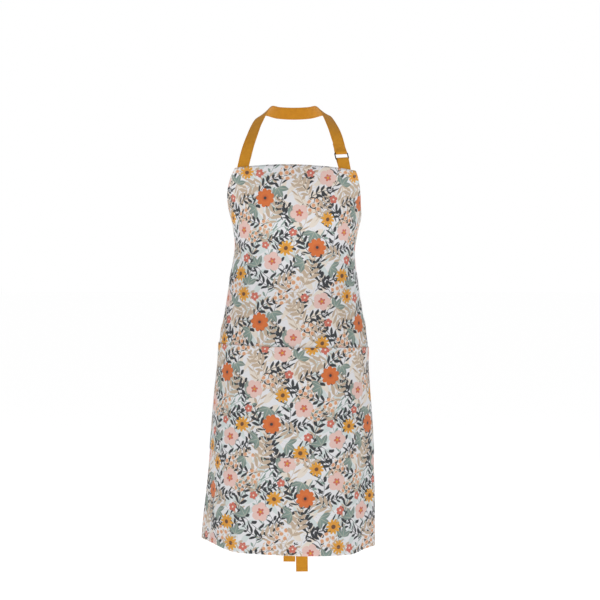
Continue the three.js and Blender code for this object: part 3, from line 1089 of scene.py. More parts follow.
    def _berries(self, board: Board, spot: Spot, under: Wire | Colour) -> Wire:
        """A cluster of peach berries with pale rims.

        Args:
            board: The group's board.
            spot: The figure's own place.
            under: The colour below it.

        Returns:
            The colour with the figure on it.
        """
        cluster, berry, rim, pitch = 0.0165, 0.0041, 0.0056, 0.0135
        inside = (cluster - spot.far()).over(0.0)
        near = spot.each(pitch).far()
        colour = board.mix(under, self.halo, (rim - near).edge() * inside)
        return board.mix(colour, self.peach, (berry - near).edge() * inside)


@dataclass(frozen=True)
class OchreTape:
    """Mustard ochre cotton tape of a fine twill."""

    light: Colour = srgb(234, 164, 44)
    shade: Colour = srgb(208, 137, 34)
    pitch: float = 0.0011

    def material(self) -> bpy.types.Material:
        """Builds the material.

        Returns:
            The finished material.
        """
        board = Board.of_material("ochre_tape")
        flat = board.flat()
        x, y = board.split(flat)
        twill = ((x + y) * (FULL_TURN / self.pitch)).sin() * 0.5 + 0.5
        cloudy = board.noise(flat, 90.0, 3.0)
        colour = board.mix(self.shade, self.light, (cloudy * 0.9 + twill * 0.25).least(1.0))
        height = twill * 0.6 + board.noise(flat, 900.0) * 0.4
        fixed = {"Sheen Weight": 0.15, "Specular IOR Level": 0.25}
        return board.finish(colour, 0.88, height, 0.00018, fixed)


@dataclass(frozen=True)
class Thread:
    """Spun sewing thread."""

    name: str
    tone: Colour
    shade: Colour

    def material(self) -> bpy.types.Material:
        """Builds the material.

        Returns:
            The finished material.
        """
        board = Board.of_material(self.name)
        where = board.place()
        twist = board.noise(where, 2500.0, 1.0)
        colour = board.mix(self.shade, self.tone, twist)
        return board.finish(colour, 0.7, twist, 0.00005)


@dataclass(frozen=True)
class AgedBronze:
    """Dark plated metal, brighter where it rubs."""

    dark: Colour = srgb(62, 47, 32)
    bright: Colour = srgb(122, 94, 62)

    def material(self) -> bpy.types.Material:
        """Builds the material.

        Returns:
            The finished material.
        """
        board = Board.of_material("aged_bronze")
        where = board.place()
        patch = board.noise(where, 420.0, 4.0)
        fine = board.noise(where, 3500.0, 2.0)
        worn = ((patch - 0.5) * 4.0).most(0.0).least(1.0)
        colour = board.mix(self.dark, self.bright, worn)
        roughness = 0.46 - worn * 0.16 + fine * 0.08
        return board.finish(colour, roughness, fine, 0.00003, {"Metallic": 1.0})


@dataclass
class Finishes:
    """The materials, each made once."""

    cotton: bpy.types.Material
    tape: bpy.types.Material
    pale_thread: bpy.types.Material
    ochre_thread: bpy.types.Material
    bronze: bpy.types.Material

    @classmethod
    def make(cls) -> Finishes:
        """Makes every finish.

        Returns:
            The finishes.
        """
        return cls(
            cotton=PrintedCotton().material(),
            tape=OchreTape().material(),
            pale_thread=Thread("pale_thread", srgb(236, 232, 224), srgb(206, 200, 190)).material(),
            ochre_thread=Thread("ochre_thread", srgb(214, 150, 52), srgb(162, 102, 28)).material(),
            bronze=AgedBronze().material(),
        )


class Slot(Enum):
    """The record's material slots."""

    COTTON = "printed_cotton"
    TAPE = "ochre_tape"
    BRONZE = "aged_bronze"


def keep_mesh(
    bm: bmesh.types.BMesh, name: str, finish: bpy.types.Material, slot: Slot
) -> bpy.types.Object:
    """Turns a bmesh into a smooth piece that rides on the part.

    Args:
        bm: The bmesh, which is freed.
        name: The piece's name.
        finish: Its material.
        slot: The record's slot, which is not used.

    Returns:
        The new object.
    """
    mesh = bpy.data.meshes.new(name)
    bm.to_mesh(mesh)
    bm.free()
    mesh.materials.append(finish)
    mesh.shade_smooth()
    piece = bpy.data.objects.new(name, mesh)
    bpy.context.scene.collection.objects.link(piece)
    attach(piece, ROOT)
    return piece


def write_flat(bm: bmesh.types.BMesh, layer: bmesh.types.BMLayerItem, printed: bool) -> None:
    """Moves flat places from the vertices to a UV map, and marks the wrong side's faces.

    Args:
        bm: The bmesh.
        layer: Each vertex's flat place, whose third number is 1 on the wrong side.
        printed: Whether the wrong side shows the print too.
    """
    uv = bm.loops.layers.uv.new(FLAT)
    inside = bm.faces.layers.float.new(INSIDE)
    for face in bm.faces:
        face[inside] = 0.0 if printed else min(vert[layer].z for vert in face.verts)
        for loop in face.loops:
            loop[uv].uv = loop.vert[layer][:2]
    bm.verts.layers.float_vector.remove(layer)


@dataclass
class Sheet:
    """A flat piece of cloth that is laid on a surface and given its thickness."""

    columns: int
    rows: int
    thickness: float

    def lay(
        self,
        flat_at: Callable[[Array, Array], tuple[Array, Array]],
        place: Surface,
        print_shift: tuple[float, float] = (0.0, 0.0),
        turned: bool = False,
    ) -> bmesh.types.BMesh:
        """Lays the sheet.

        Args:
            flat_at: Turns shares across and down, from 0 to 1, into flat distances.
            place: Turns flat distances and a distance outward into points.
            print_shift: How far the print is moved.
            turned: Whether its printed side faces inward, as a hem's does.

        Returns:
            A closed bmesh whose outer face is at an outward distance of 0.
        """
        bm = bmesh.new()
        bmesh.ops.create_grid(bm, x_segments=self.columns, y_segments=self.rows, size=1.0)
        shares = np.array([vert.co[:2] for vert in bm.verts])
        across, down = flat_at((shares[:, 0] + 1) / 2, (1 - shares[:, 1]) / 2)
        outer = place(across, down, 0.0)
        inner = place(across, down, -self.thickness)
        layer = bm.verts.layers.float_vector.new("flat_place")
        number = bm.verts.layers.int.new("number")
        for i, vert in enumerate(bm.verts):
            vert.co = inner[i]
            vert[number] = i
            vert[layer] = (across[i] + print_shift[0], -down[i] + print_shift[1], 1.0)
        made = bmesh.ops.extrude_face_region(bm, geom=bm.faces[:], use_keep_orig=True)
        for vert in (v for v in made["geom"] if isinstance(v, bmesh.types.BMVert)):
            vert.co = outer[vert[number]]
            vert[layer].z = 0.0
        bmesh.ops.recalc_face_normals(bm, faces=bm.faces[:])
        write_flat(bm, layer, turned)
        bm.verts.layers.int.remove(bm.verts.layers.int["number"])
        return bm


def soften_edges(piece: bpy.types.Object, width: float) -> None:
    """Rounds the sharp edges of a thin piece.

    Args:
        piece: The piece.
        width: How wide the rounding is.
    """
    bevel = piece.modifiers.new("soft_edges", "BEVEL")
    bevel.width = width
    bevel.segments = 2
    bevel.limit_method = "ANGLE"
    bevel.angle_limit = math.radians(60)


@dataclass
class StitchRow:
    """A row of stitches, with the sizes of one."""

    pitch: float = 0.0034
    length: float = 0.0025
    radius: float = 0.00032
    flatness: float = 0.7
    nudge: float = 0.001

    def sew(self, bm: bmesh.types.BMesh, points: Array, outs: Array) -> None:
        """Adds stitches along a path.

        Args:
            bm: Receives the stitches.
            points: Points along the path, close together.
            outs: The surface's outward direction at each.
        """
        walked = walk(points)
        count = int(walked[-1] / self.pitch)
        centres = (np.arange(count) + 0.5) * walked[-1] / max(count, 1)
        middle = read_along(points, walked, centres)
        ahead = read_along(points, walked, centres + self.nudge)
        ahead -= read_along(points, walked, centres - self.nudge)
        out = read_along(outs, walked, centres)
        size = Matrix.Diagonal((self.length / 2, self.radius, self.radius * self.flatness, 1.0))
        pattern = self._pattern()
        for i in range(count):
            along = Vector(ahead[i]).normalized()
            up = Vector(out[i])
            up = (up - along * up.dot(along)).normalized()
            side = up.cross(along)
            turn = Matrix((along, side, up)).transposed().to_4x4()
            stitch = pattern.copy()
            stitch.transform(Matrix.Translation(middle[i]) @ turn @ size)
            bm.from_mesh(stitch)
            bpy.data.meshes.remove(stitch)
        bpy.data.meshes.remove(pattern)

    @staticmethod
    def _pattern() -> bpy.types.Mesh:
        """Makes one stitch of unit size, which every stitch copies.

        Returns:
            Its mesh.
        """
        one = bmesh.new()
        bmesh.ops.create_uvsphere(one, u_segments=6, v_segments=4, radius=1.0)
        mesh = bpy.data.meshes.new("stitch")
        one.to_mesh(mesh)
        one.free()
        return mesh


@dataclass
class Station:
    """One place along a tape: its middle and the way to one of its edges."""

    point: Vector
    edge: Vector


@dataclass
class TapeMaker:
    """Makes pieces of the tape that straps and ties are cut from."""

    finishes: Finishes
    width: float = 0.028
    thickness: float = 0.0016
    columns: int = 10
    pucker: float = 0.0
    crown: float = 0.0
    gathered_start: float = 0.0
    gathered_end: float = 0.0
    gather_lift: float = 0.0009
    gather_share: float = 0.24
    edge_row: float = 0.0026
    nudge: float = 0.0008

    def _surface(self, stations: list[Station]) -> tuple[Surface, float]:
        """Works out the surface that a tape follows.

        Args:
            stations: Places along the tape.

        Returns:
            A function of flat distances and a distance outward, and the tape's length.
        """
        points = np.array([s.point[:] for s in stations])
        edges = np.array([s.edge.normalized()[:] for s in stations])
        walked = walk(points)
        length = float(walked[-1])

        def place(across: Array, down: Array, outward: float) -> Array:
            """Puts places of the flat tape in the frame of the part.

            Args:
                across: Flat distances across from the tape's middle.
                down: Flat distances along it.
                outward: Distance outward.

            Returns:
                An array of points.
            """
            middle = read_along(points, walked, down)
            ahead = read_along(points, walked, np.minimum(down + self.nudge, length))
            ahead = unit(ahead - read_along(points, walked, np.maximum(down - self.nudge, 0)))
            side = read_along(edges, walked, down)
            side = unit(side - ahead * np.sum(side * ahead, axis=1, keepdims=True))
            out = np.cross(ahead, side)
            share = 2 * across / self.width
            near_end = np.zeros_like(down)
            if self.gathered_start:
                near_end += smooth(np.clip(1 - down / self.gathered_start, 0, 1))
            if self.gathered_end:
                near_end += smooth(np.clip(1 - (length - down) / self.gathered_end, 0, 1))
            depth = self.pucker * (1 - share**4) + near_end * self.gather_lift
            gathers = np.cos(share * 3 * math.pi) * depth
            lift = outward + self.thickness / 2 + gathers - self.crown * share**2
            reach = across * (1 - self.gather_share * near_end)
            return middle + side * reach[:, None] + out * lift[:, None]

        return place, length

    def make(
        self, name: str, stations: list[Station], step: float = 0.003
    ) -> tuple[bpy.types.Object, float]:
        """Makes one tape along its stations.

        Args:
            name: The piece's name.
            stations: Places along the tape.
            step: Distance of the rows of faces.

        Returns:
            The piece and its length.
        """
        place, length = self._surface(stations)
        rows = max(int(length / step), len(stations))

        def flat_at(x: Array, y: Array) -> tuple[Array, Array]:
            """Turns shares into flat distances."""
            return (x - 0.5) * self.width, y * length

        bm = Sheet(self.columns, rows, self.thickness).lay(flat_at, place)
        piece = keep_mesh(bm, name, self.finishes.tape, Slot.TAPE)
        soften_edges(piece, 0.0004)
        return piece, length

    def stitch(
        self,
        name: str,
        stations: list[Station],
        boxes: list[tuple[float, float]],
        bars: tuple[float, ...] = (),
    ) -> bpy.types.Object:
        """Sews both edges of a tape and a box of stitches at each end that is joined.

        Args:
            name: The piece's name.
            stations: Places along the tape.
            boxes: From where to where along the tape each box goes.
            bars: Distances from the tape's end at which one row goes across.

        Returns:
            The stitches.
        """
        place, length = self._surface(stations)
        edge = self.width / 2 - self.edge_row
        bm = bmesh.new()

        def sew(across: Array, down: Array) -> None:
            """Sews one row on both faces of the tape.

            Args:
                across: Flat distances across from the tape's middle.
                down: Flat distances along it.
            """
            front = place(across, down, PROUD)
            rear = place(across, down, -self.thickness - PROUD)
            out = unit(front - rear)
            StitchRow().sew(bm, front, out)
            StitchRow().sew(bm, rear, -out)

        downs = np.linspace(0.002, length - 0.002, max(int(length / 0.002), 20))
        for side in (-1, 1):
            sew(np.full_like(downs, side * edge), downs)
        acrosses = np.linspace(-edge, edge, 20)
        for bar in bars:
            sew(acrosses, np.full_like(acrosses, length - bar))
        for start, end in boxes:
            for down in (start, end):
                sew(acrosses, np.full_like(acrosses, down))
            for side in (-1, 1):
                sew(acrosses * side, np.linspace(start, end, 20))
        return keep_mesh(bm, name, self.finishes.ochre_thread, Slot.TAPE)


@dataclass(frozen=True)
class Way:
    """One place on the strap's route up to the neck, in shares of the whole way."""

    inward: float
    back: float
    up: float


@dataclass(frozen=True)
class Fall:
    """One place on a hanging tie: shares of its length, of its spread and of its set-back."""

    down: float
    aside: float
    back: float


ROUTE = (
    Way(0.1, 0.07, 0.17),
    Way(0.22, 0.18, 0.35),
    Way(0.38, 0.36, 0.54),
    Way(0.56, 0.6, 0.73),
    Way(0.79, 0.83, 0.89),
)

TAIL_FALL = (
    Fall(0.0, 0.0, 0.0),
    Fall(0.03, 0.0, 0.0),
    Fall(0.1, 0.4, 0.4),
    Fall(0.2, 0.7, 0.85),
    Fall(0.35, 0.85, 1.0),
    Fall(0.55, 1.0, 1.0),
    Fall(0.78, 0.9, 0.95),
    Fall(1.0, 1.0, 0.98),
)


def smoothed(stations: list[Station], steps: int) -> list[Station]:
    """Runs a centripetal curve through stations.

    Args:
        stations: The places to pass.
        steps: How many steps to return.

    Returns:
        Places along the curve.
    """

    def curve(points: list[Vector], at: float) -> Vector:
        """Reads the curve at a share of its stations.

        Args:
            points: What the curve runs through.
            at: The share, from 0 to 1.

        Returns:
            The place there.
        """
        last = len(points) - 1
        i = min(int(at * last), last - 1)
        t = at * last - i
        before = points[i - 1] if i > 0 else points[0] * 2 - points[1]
        after = points[i + 2] if i + 2 <= last else points[last] * 2 - points[last - 1]
        a, b = points[i], points[i + 1]
        gaps = [math.sqrt((q - p).length) for p, q in ((before, a), (a, b), (b, after))]
        middle = gaps[1] if gaps[1] > 1e-6 else 1.0
        first = gaps[0] if gaps[0] > 1e-6 else middle
        third = gaps[2] if gaps[2] > 1e-6 else middle
        leave = ((a - before) / first - (b - before) / (first + middle) + (b - a) / middle) * middle
        arrive = ((b - a) / middle - (after - a) / (middle + third) + (after - b) / third) * middle
        bend = (b - a) * 3 - leave * 2 - arrive
        twist = (a - b) * 2 + leave + arrive
        return a + leave * t + bend * t**2 + twist * t**3

    points = [s.point for s in stations]
    edges = [s.edge for s in stations]
    return [Station(curve(points, i / steps), curve(edges, i / steps)) for i in range(steps + 1)]


@dataclass
class Apron:
    """What the sub-assemblies share: the drape, the finishes and the tape."""

    drape: Drape
    finishes: Finishes
    tape: TapeMaker
    hemmed: float = 0.0024
    clear: float = 0.0005

    @property
    def nape(self) -> Vector:
        """The part's origin, seen from the middle of the bib's top edge."""
        return Vector(self.drape.nape)

    def inward(self, layers: int = 0) -> float:
        """How far in from the cloth's face a tape behind it and other layers has its middle."""
        tape = self.tape.thickness
        return self.hemmed + self.clear + tape / 2 + layers * (tape + GAP)

    def behind(self, across: float, down: float, layers: int = 0) -> Vector:
        """Middle of a tape that lies behind the cloth.

        Args:
            across: Flat distance across.
            down: Flat distance down.
            layers: Layers of tape between it and the cloth.

        Returns:
            The point.
        """
        return Vector(self.drape.place(across, down, -self.inward(layers)))

    def behind_bib(self, across: float, down: float, layers: int = 0) -> Station:
        """A flat upright tape behind the bowed bib.

        Args:
            across: Flat distance across to its middle.
            down: Flat distance down.
            layers: Layers of tape between it and the cloth.

        Returns:
            The station.
        """
        half = self.tape.width / 2
        left, right = (self.behind(across + end * half, down, layers) for end in (-1, 1))
        return Station((left + right) / 2, (right - left) * math.copysign(1000, across))

    def sew(
        self, name: str, rows: list[tuple[Array, Array]], outward: float = 0.0
    ) -> bpy.types.Object:
        """Sews rows of stitches on the cloth.

        Args:
            name: The piece's name.
            rows: Flat distances across and down along each row.
            outward: How far out the cloth's face is.

        Returns:
            The stitches.
        """
        bm = bmesh.new()
        for across, down in rows:
            points = self.drape.place(across, down, outward + PROUD)
            StitchRow().sew(bm, points, self.drape.normals(across, down, True))
        return keep_mesh(bm, name, self.finishes.pale_thread, Slot.COTTON)


@dataclass
class Panel:
    """The apron's one piece of cloth with its hems."""

    apron: Apron
    columns: int = 190
    rows: int = 230
    hem_cloth: float = 0.85
    side_row: float = 0.0078
    top_row: float = 0.0225
    bottom_row: float = 0.0178

    def build(self) -> list[bpy.types.Object]:
        """Makes the cloth, its folded hems and their stitches.

        Returns:
            The pieces.
        """
        cut = self.apron.drape.cut
        place = self.apron.drape.place

        def flat_at(x: Array, y: Array) -> tuple[Array, Array]:
            """Turns shares into flat distances."""
            down = y * cut.length
            return (2 * x - 1) * cut.half_width(down), down

        cotton = self.apron.finishes.cotton
        bm = Sheet(self.columns, self.rows, cut.cloth).lay(flat_at, place)
        cloth = keep_mesh(bm, "panel_cloth", cotton, Slot.COTTON)
        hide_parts("apron_panel")
        hems = [self._hem(name) for name in ("top", "bottom", "left", "right")]
        hems.append(self._rolled_edge())
        hems.append(self._stitches())
        area = 2 * float(np.mean(cut.half_width(np.linspace(0, cut.length, 400)))) * cut.length
        return [cloth, *hems]

    def _hem(self, name: str) -> bpy.types.Object:
        """Makes the folded layer of one hem.

        Args:
            name: Which edge.

        Returns:
            The hem.
        """
        cut = self.apron.drape.cut
        under = cut.cloth + PROUD

        def place(across: Array, down: Array, outward: float) -> Array:
            """Lays the hem behind the cloth."""
            return self.apron.drape.place(across, down, outward - under)

        def level(x: Array, y: Array) -> tuple[Array, Array]:
            """Flat distances of the top or bottom hem."""
            down = y * cut.top_hem if name == "top" else cut.length - (1 - y) * cut.bottom_hem
            return (2 * x - 1) * (cut.half_width(down) - 0.001), down

        def upright(x: Array, y: Array) -> tuple[Array, Array]:
            """Turns shares into flat distances of a side hem.

            Args:
                x: Shares across.
                y: Shares down.

            Returns:
                Distances across and down.
            """
            down = 0.002 + y * (cut.length - 0.004)
            half = cut.half_width(down)
            across = -half + x * cut.side_hem if name == "left" else half - (1 - x) * cut.side_hem
            return across, down

        long_way = name in ("top", "bottom")
        columns, rows = (120, 5) if long_way else (4, self.rows)
        sheet = Sheet(columns, rows, cut.cloth * self.hem_cloth)
        bm = sheet.lay(level if long_way else upright, place, turned=True)
        piece = keep_mesh(bm, f"hem_{name}", self.apron.finishes.cotton, Slot.COTTON)
        soften_edges(piece, 0.0003)
        return piece

    def _border(self, steps: int = 240) -> tuple[Array, Array]:
        """Flat distances once round the cloth's edge.

        Args:
            steps: Steps on each side.

        Returns:
            Distances across and down.
        """
        cut = self.apron.drape.cut
        share = np.linspace(0, 1, steps)[:-1]
        down = share * cut.length
        half = cut.half_width(down)
        top = cut.half_width(np.zeros(1))[0]
        bottom = cut.width / 2
        across = np.concatenate([
            -top + 2 * top * share,
            half,
            bottom - 2 * bottom * share,
            -cut.half_width(cut.length - down),
        ])
        ones = np.ones_like(share)
        return across, np.concatenate([0 * ones, down, cut.length * ones, cut.length - down])

    def _rolled_edge(self) -> bpy.types.Object:
        """Makes the soft fold that runs round the edge.

        Returns:
            The fold.
        """
        across, down = self._border()
        cut = self.apron.drape.cut
        middle = self.apron.drape.place(across, down, -cut.cloth)
        flat = np.stack([across, -down], axis=-1)
        roll = Roll("hem_fold", radius=cut.cloth * 1.02, sides=8)
        return roll.make(middle, flat, self.apron.finishes.cotton, Slot.COTTON)

    def _stitches(self) -> bpy.types.Object:
        """Sews the hems.

        Returns:
            The stitches.
        """
        cut, short_of_end = self.apron.drape.cut, 0.004
        downs = np.linspace(short_of_end, cut.length - short_of_end, 500)
        rows = [(side * (cut.half_width(downs) - self.side_row), downs) for side in (-1, 1)]
        share = np.linspace(-1, 1, 400)
        for down in (self.top_row, cut.length - self.bottom_row):
            half = cut.half_width(np.array([down]))[0] - short_of_end
            rows.append((share * half, np.full_like(share, down)))
        return self.apron.sew("hem_stitches", rows)


@dataclass
class Roll:
    """A closed round edge: a tube along a ring of points."""

    name: str
    radius: float
    sides: int
    never_along: Triple = (0.31, 0.9, 0.3)

    def make(
        self, middle: Array, flat: Array, finish: bpy.types.Material, slot: Slot
    ) -> bpy.types.Object:
        """Makes the tube.

        Args:
            middle: Points once round, without the first one again.
            flat: Flat coordinates of each.
            finish: Its material.
            slot: The record's slot.

        Returns:
            The tube.
        """
        count = len(middle)
        bm = bmesh.new()
        bmesh.ops.create_grid(bm, x_segments=self.sides, y_segments=count, size=1.0)
        ahead = unit(np.roll(middle, -1, axis=0) - np.roll(middle, 1, axis=0))
        first = unit(np.cross(ahead, np.array(self.never_along)))
        second = np.cross(ahead, first)
        layer = bm.verts.layers.float_vector.new("flat_place")
        for vert in bm.verts:
            turn = (vert.co.x + 1) * math.pi
            i = round((vert.co.y + 1) / 2 * count) % count
            vert[layer] = (flat[i][0], flat[i][1], 0.0)
            out = first[i] * math.cos(turn) + second[i] * math.sin(turn)
            vert.co = middle[i] + out * self.radius
        write_flat(bm, layer, True)
        bmesh.ops.remove_doubles(bm, verts=bm.verts[:], dist=1e-7)
        bmesh.ops.recalc_face_normals(bm, faces=bm.faces[:])
        return keep_mesh(bm, self.name, finish, slot)


@dataclass
class Pocket:
    """The wide patch pocket."""

    apron: Apron
    width: float = 0.6
    height: float = 0.246
    down: float = 0.41
    gap: float = GAP
    top_hem: float = 0.022
    edge_row: float = 0.002
    mouth_lift: float = 0.0012
    mouth_reach: float = 0.04
    print_shift: tuple[float, float] = (0.083, 0.117)

    def build(self) -> list[bpy.types.Object]:
        """Makes the pocket's cloth and its stitches, one row of them at the depth of its top hem.

        Returns:
            The pieces.
        """
        drape = self.apron.drape
        thick = drape.cut.cloth

        def flat_at(x: Array, y: Array) -> tuple[Array, Array]:
            """Turns shares into flat distances."""
            return (x - 0.5) * self.width, self.down + y * self.height

        def place(across: Array, down: Array, outward: float) -> Array:
            """Lays the pocket on the panel, a little proud along its open top.

            Args:
                across: Flat distances across from the middle.
                down: Flat distances down.
                outward: Distance outward.

            Returns:
                An array of points.
            """
            share = np.clip((down - self.down) / self.mouth_reach, 0, 1)
            at_side = (2 * across / self.width) ** 6
            open_edge = self.mouth_lift * (1 - smooth(share)) * (1 - at_side)
            return drape.place(across, down, outward + self.gap + thick + open_edge)

        cotton = self.apron.finishes.cotton
        bm = Sheet(160, 64, thick).lay(flat_at, place, self.print_shift)
        cloth = keep_mesh(bm, "pocket_cloth", cotton, Slot.COTTON)
        soften_edges(cloth, 0.0004)
        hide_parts("pocket")
        half = self.width / 2 - self.edge_row
        bottom = self.down + self.height - self.edge_row
        across = np.linspace(-half, half, 400)
        downs = np.linspace(self.down + 0.003, bottom, 200)
        levels = (self.down + self.top_hem, bottom)
        rows = [(across, np.full_like(across, level)) for level in levels]
        rows += [(np.full_like(downs, side), downs) for side in (-half, half)]
        stitches = self.apron.sew("pocket_stitches", rows, self.gap + thick)
        return [cloth, stitches]


@dataclass
class RingFrame:
    """The ring's own directions and middle."""

    middle: Vector
    up: Vector
    side: Vector
    out: Vector
    across: float


@dataclass
class NeckStrap:
    """The long tape round the neck, the ring, and the short tape that holds it."""

    apron: Apron
    tuck: float = 0.025
    fold: float = 0.024
    left_inset: float = 0.018
    right_inset: float = 0.025
    middle: float = -0.004
    half_width: float = 0.061
    back: float = 0.072
    rise: float = 0.131
    forward: float = 0.002
    nape_drop: float = 0.005
    nape_start: float = 0.35
    wire: float = 0.0026
    window: tuple[float, float] = (0.0292, 0.0128)
    ring_rise: float = 0.033
    corner: float = 0.0026
    at_bib: Triple = (1, 0.38, 0)
    at_neck: Triple = (0.8, 0.05, -0.6)
    at_nape: Triple = (0, 0.22, -0.97)
    bib_box: tuple[float, float] = (0.004, 0.02)
    ring_box: tuple[float, float] = (0.053, 0.037)
    bar_steps: int = 14

    @staticmethod
    def _toward(side: float, way: Triple) -> Vector:
        """Turns outward, back and up into a direction."""
        return Vector((side * way[0], way[1], way[2]))

    def _neck_point(self, side: float) -> Vector:
        """Where the loop passes the side of the neck."""
        return Vector((self.middle + side * self.half_width, self.forward, self.rise)) - self.apron.nape

    def _route(self, start: Vector, side: float) -> list[Station]:
        """Stations from a start near the bib up to the side of the neck.

        Args:
            start: The start.
            side: -1 for the left, 1 for the right.

        Returns:
            The stations.
        """
        neck = self._neck_point(side)
        stations = []
        for way in ROUTE:
            shares = (way.inward, way.back, way.up)
            point = Vector([start[k] + (neck[k] - start[k]) * shares[k] for k in range(3)])
            edge = self._toward(side, self.at_bib).lerp(self._toward(side, self.at_neck), way.up)
            stations.append(Station(point, edge))
        return stations

    def _round_neck(self) -> list[Station]:
        """Goes round the back of the neck, from left to right.

        Returns:
            The stations.
        """
        stations = []
        for angle in np.linspace(self.nape_start, math.pi - self.nape_start, 5):
            side, behind = -math.cos(angle), math.sin(angle)
            edge = self._toward(math.copysign(1, side), self.at_neck) * abs(side)
            edge += self._toward(0, self.at_nape) * behind
            point = self._neck_point(side) + Vector((0, self.back * behind, -self.nape_drop * behind))
            stations.append(Station(point, edge))
        return stations

    def frame(self) -> RingFrame:
        """Works out how the ring hangs.

        Returns:
            The ring's frame.
        """
        across = self.apron.drape.cut.bib_width / 2 - self.right_inset
        foot = self.apron.behind_bib(across, 0)
        up = (self._route(foot.point, 1)[1].point - foot.point).normalized()
        side = (foot.edge - up * foot.edge.dot(up)).normalized()
        return RingFrame(foot.point + up * self.ring_rise, up, side, side.cross(up), across)

    def _round_bar(self, frame: RingFrame, way: int) -> list[Station]:
        """Goes round one bar of the ring.

        Args:
            frame: The ring's frame.
            way: 1 for the upper bar, -1 for the lower one.

        Returns:
            The stations.
        """
        radius = self.wire * math.sqrt(0.5) + GAP + self.apron.tape.thickness / 2
        bar = frame.middle + frame.up * (way * (self.window[1] + self.wire) / 2)
        stations = []
        for step in range(self.bar_steps + 1):
            angle = math.pi * step / self.bar_steps
            out, up = radius * math.cos(angle), way * radius * math.sin(angle)
            stations.append(Station(bar + frame.out * out - frame.up * up, frame.side.copy()))
        return stations

    def build(self) -> list[bpy.types.Object]:
        """Makes both tapes, the ring and the stitches.

        Returns:
            The pieces.
        """
        frame = self.frame()
        return [*self._long(frame), self._short(frame), self._ring(frame)]

    def _long(self, frame: RingFrame) -> list[bpy.types.Object]:
        """Makes the long tape.

        Args:
            frame: The ring's frame.

        Returns:
            The tape and its stitches.
        """
        apron = self.apron
        across = -(apron.drape.cut.bib_width / 2 - self.left_inset)
        tucked = [apron.behind_bib(across, down) for down in (self.tuck, self.tuck / 2, 0)]
        apart = apron.tape.thickness + GAP
        above = (self.window[1] + self.wire) / 2

        def above_bar(up: float, out: float) -> Station:
            """A place above the ring's upper bar."""
            point = frame.middle + frame.up * (above + up) + frame.out * out
            return Station(point, frame.side.copy())

        upper = above_bar(self.fold, apart / 2)
        loop = [
            tucked[2],
            *self._route(tucked[2].point, -1),
            *self._round_neck(),
            *reversed(self._route(upper.point, 1)),
            upper,
        ]
        stations = [
            *tucked[:2],
            *smoothed(loop, 200),
            above_bar(self.fold / 2, apart / 2),
            *self._round_bar(frame, 1),
            above_bar(self.fold / 2, -apart / 2),
            above_bar(self.fold, -apart / 2),
        ]
        piece, length = apron.tape.make("neck_tape_long", stations)
        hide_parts("neck_strap_long")
        boxes = [self.bib_box, (length - self.ring_box[0], length - self.ring_box[1])]
        stitches = apron.tape.stitch("neck_stitches_long", stations, boxes)
        return [piece, stitches]

    def _short(self, frame: RingFrame) -> bpy.types.Object:
        """Makes the short tape round the ring's lower bar.

        Args:
            frame: The ring's frame.

        Returns:
            The tape.
        """
        apron = self.apron
        front = [apron.behind_bib(frame.across, down) for down in (self.tuck, self.tuck / 2, 0)]
        back = [apron.behind_bib(frame.across, down, 1) for down in (0, self.tuck / 2, self.tuck)]
        stations = [*front, *self._round_bar(frame, -1), *back]
        piece, length = apron.tape.make("neck_tape_short", stations)
        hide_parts("neck_strap_short")
        return piece

    def _ring(self, frame: RingFrame) -> bpy.types.Object:
        """Bends the ring from round wire.

        Args:
            frame: The ring's frame.

        Returns:
            The ring.
        """
        bm = bmesh.new()
        reach = (self.window[0] + self.wire) / 2 - self.corner
        rise = (self.window[1] + self.wire) / 2 - self.corner
        turn = Matrix.Rotation(math.pi / 2, 4, "Y")
        start = Matrix.Translation((-reach, rise + self.corner, 0)) @ turn
        bmesh.ops.create_circle(bm, segments=14, radius=self.wire / 2, matrix=start)
        edges = bm.edges[:]
        way = Vector((1, 0, 0))
        steps = 4
        for right, up in ((1, 1), (1, -1), (-1, -1), (-1, 1)):
            straight = 2 * (reach if right == up else rise)
            for _ in range(steps):
                made = bmesh.ops.extrude_edge_only(bm, edges=edges)["geom"]
                verts = [g for g in made if isinstance(g, bmesh.types.BMVert)]
                edges = [
                    g for g in made
                    if isinstance(g, bmesh.types.BMEdge) and all(v in verts for v in g.verts)
                ]
                bmesh.ops.translate(bm, verts=verts, vec=way * straight / steps)
            spun = bmesh.ops.spin(
                bm, geom=edges, cent=(right * reach, up * rise, 0), axis=(0, 0, -1),
                angle=math.pi / 2, steps=6, use_merge=False,
            )
            edges = [g for g in spun["geom_last"] if isinstance(g, bmesh.types.BMEdge)]
            way = Matrix.Rotation(-math.pi / 2, 3, "Z") @ way
        bmesh.ops.remove_doubles(bm, verts=bm.verts[:], dist=1e-6)
        bmesh.ops.recalc_face_normals(bm, faces=bm.faces[:])
        place = Matrix((frame.side, frame.up, frame.out)).transposed().to_4x4()
        bmesh.ops.transform(bm, matrix=Matrix.Translation(frame.middle) @ place, verts=bm.verts[:])
        piece = keep_mesh(bm, "ring", self.apron.finishes.bronze, Slot.BRONZE)
        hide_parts("strap_ring")
        return piece


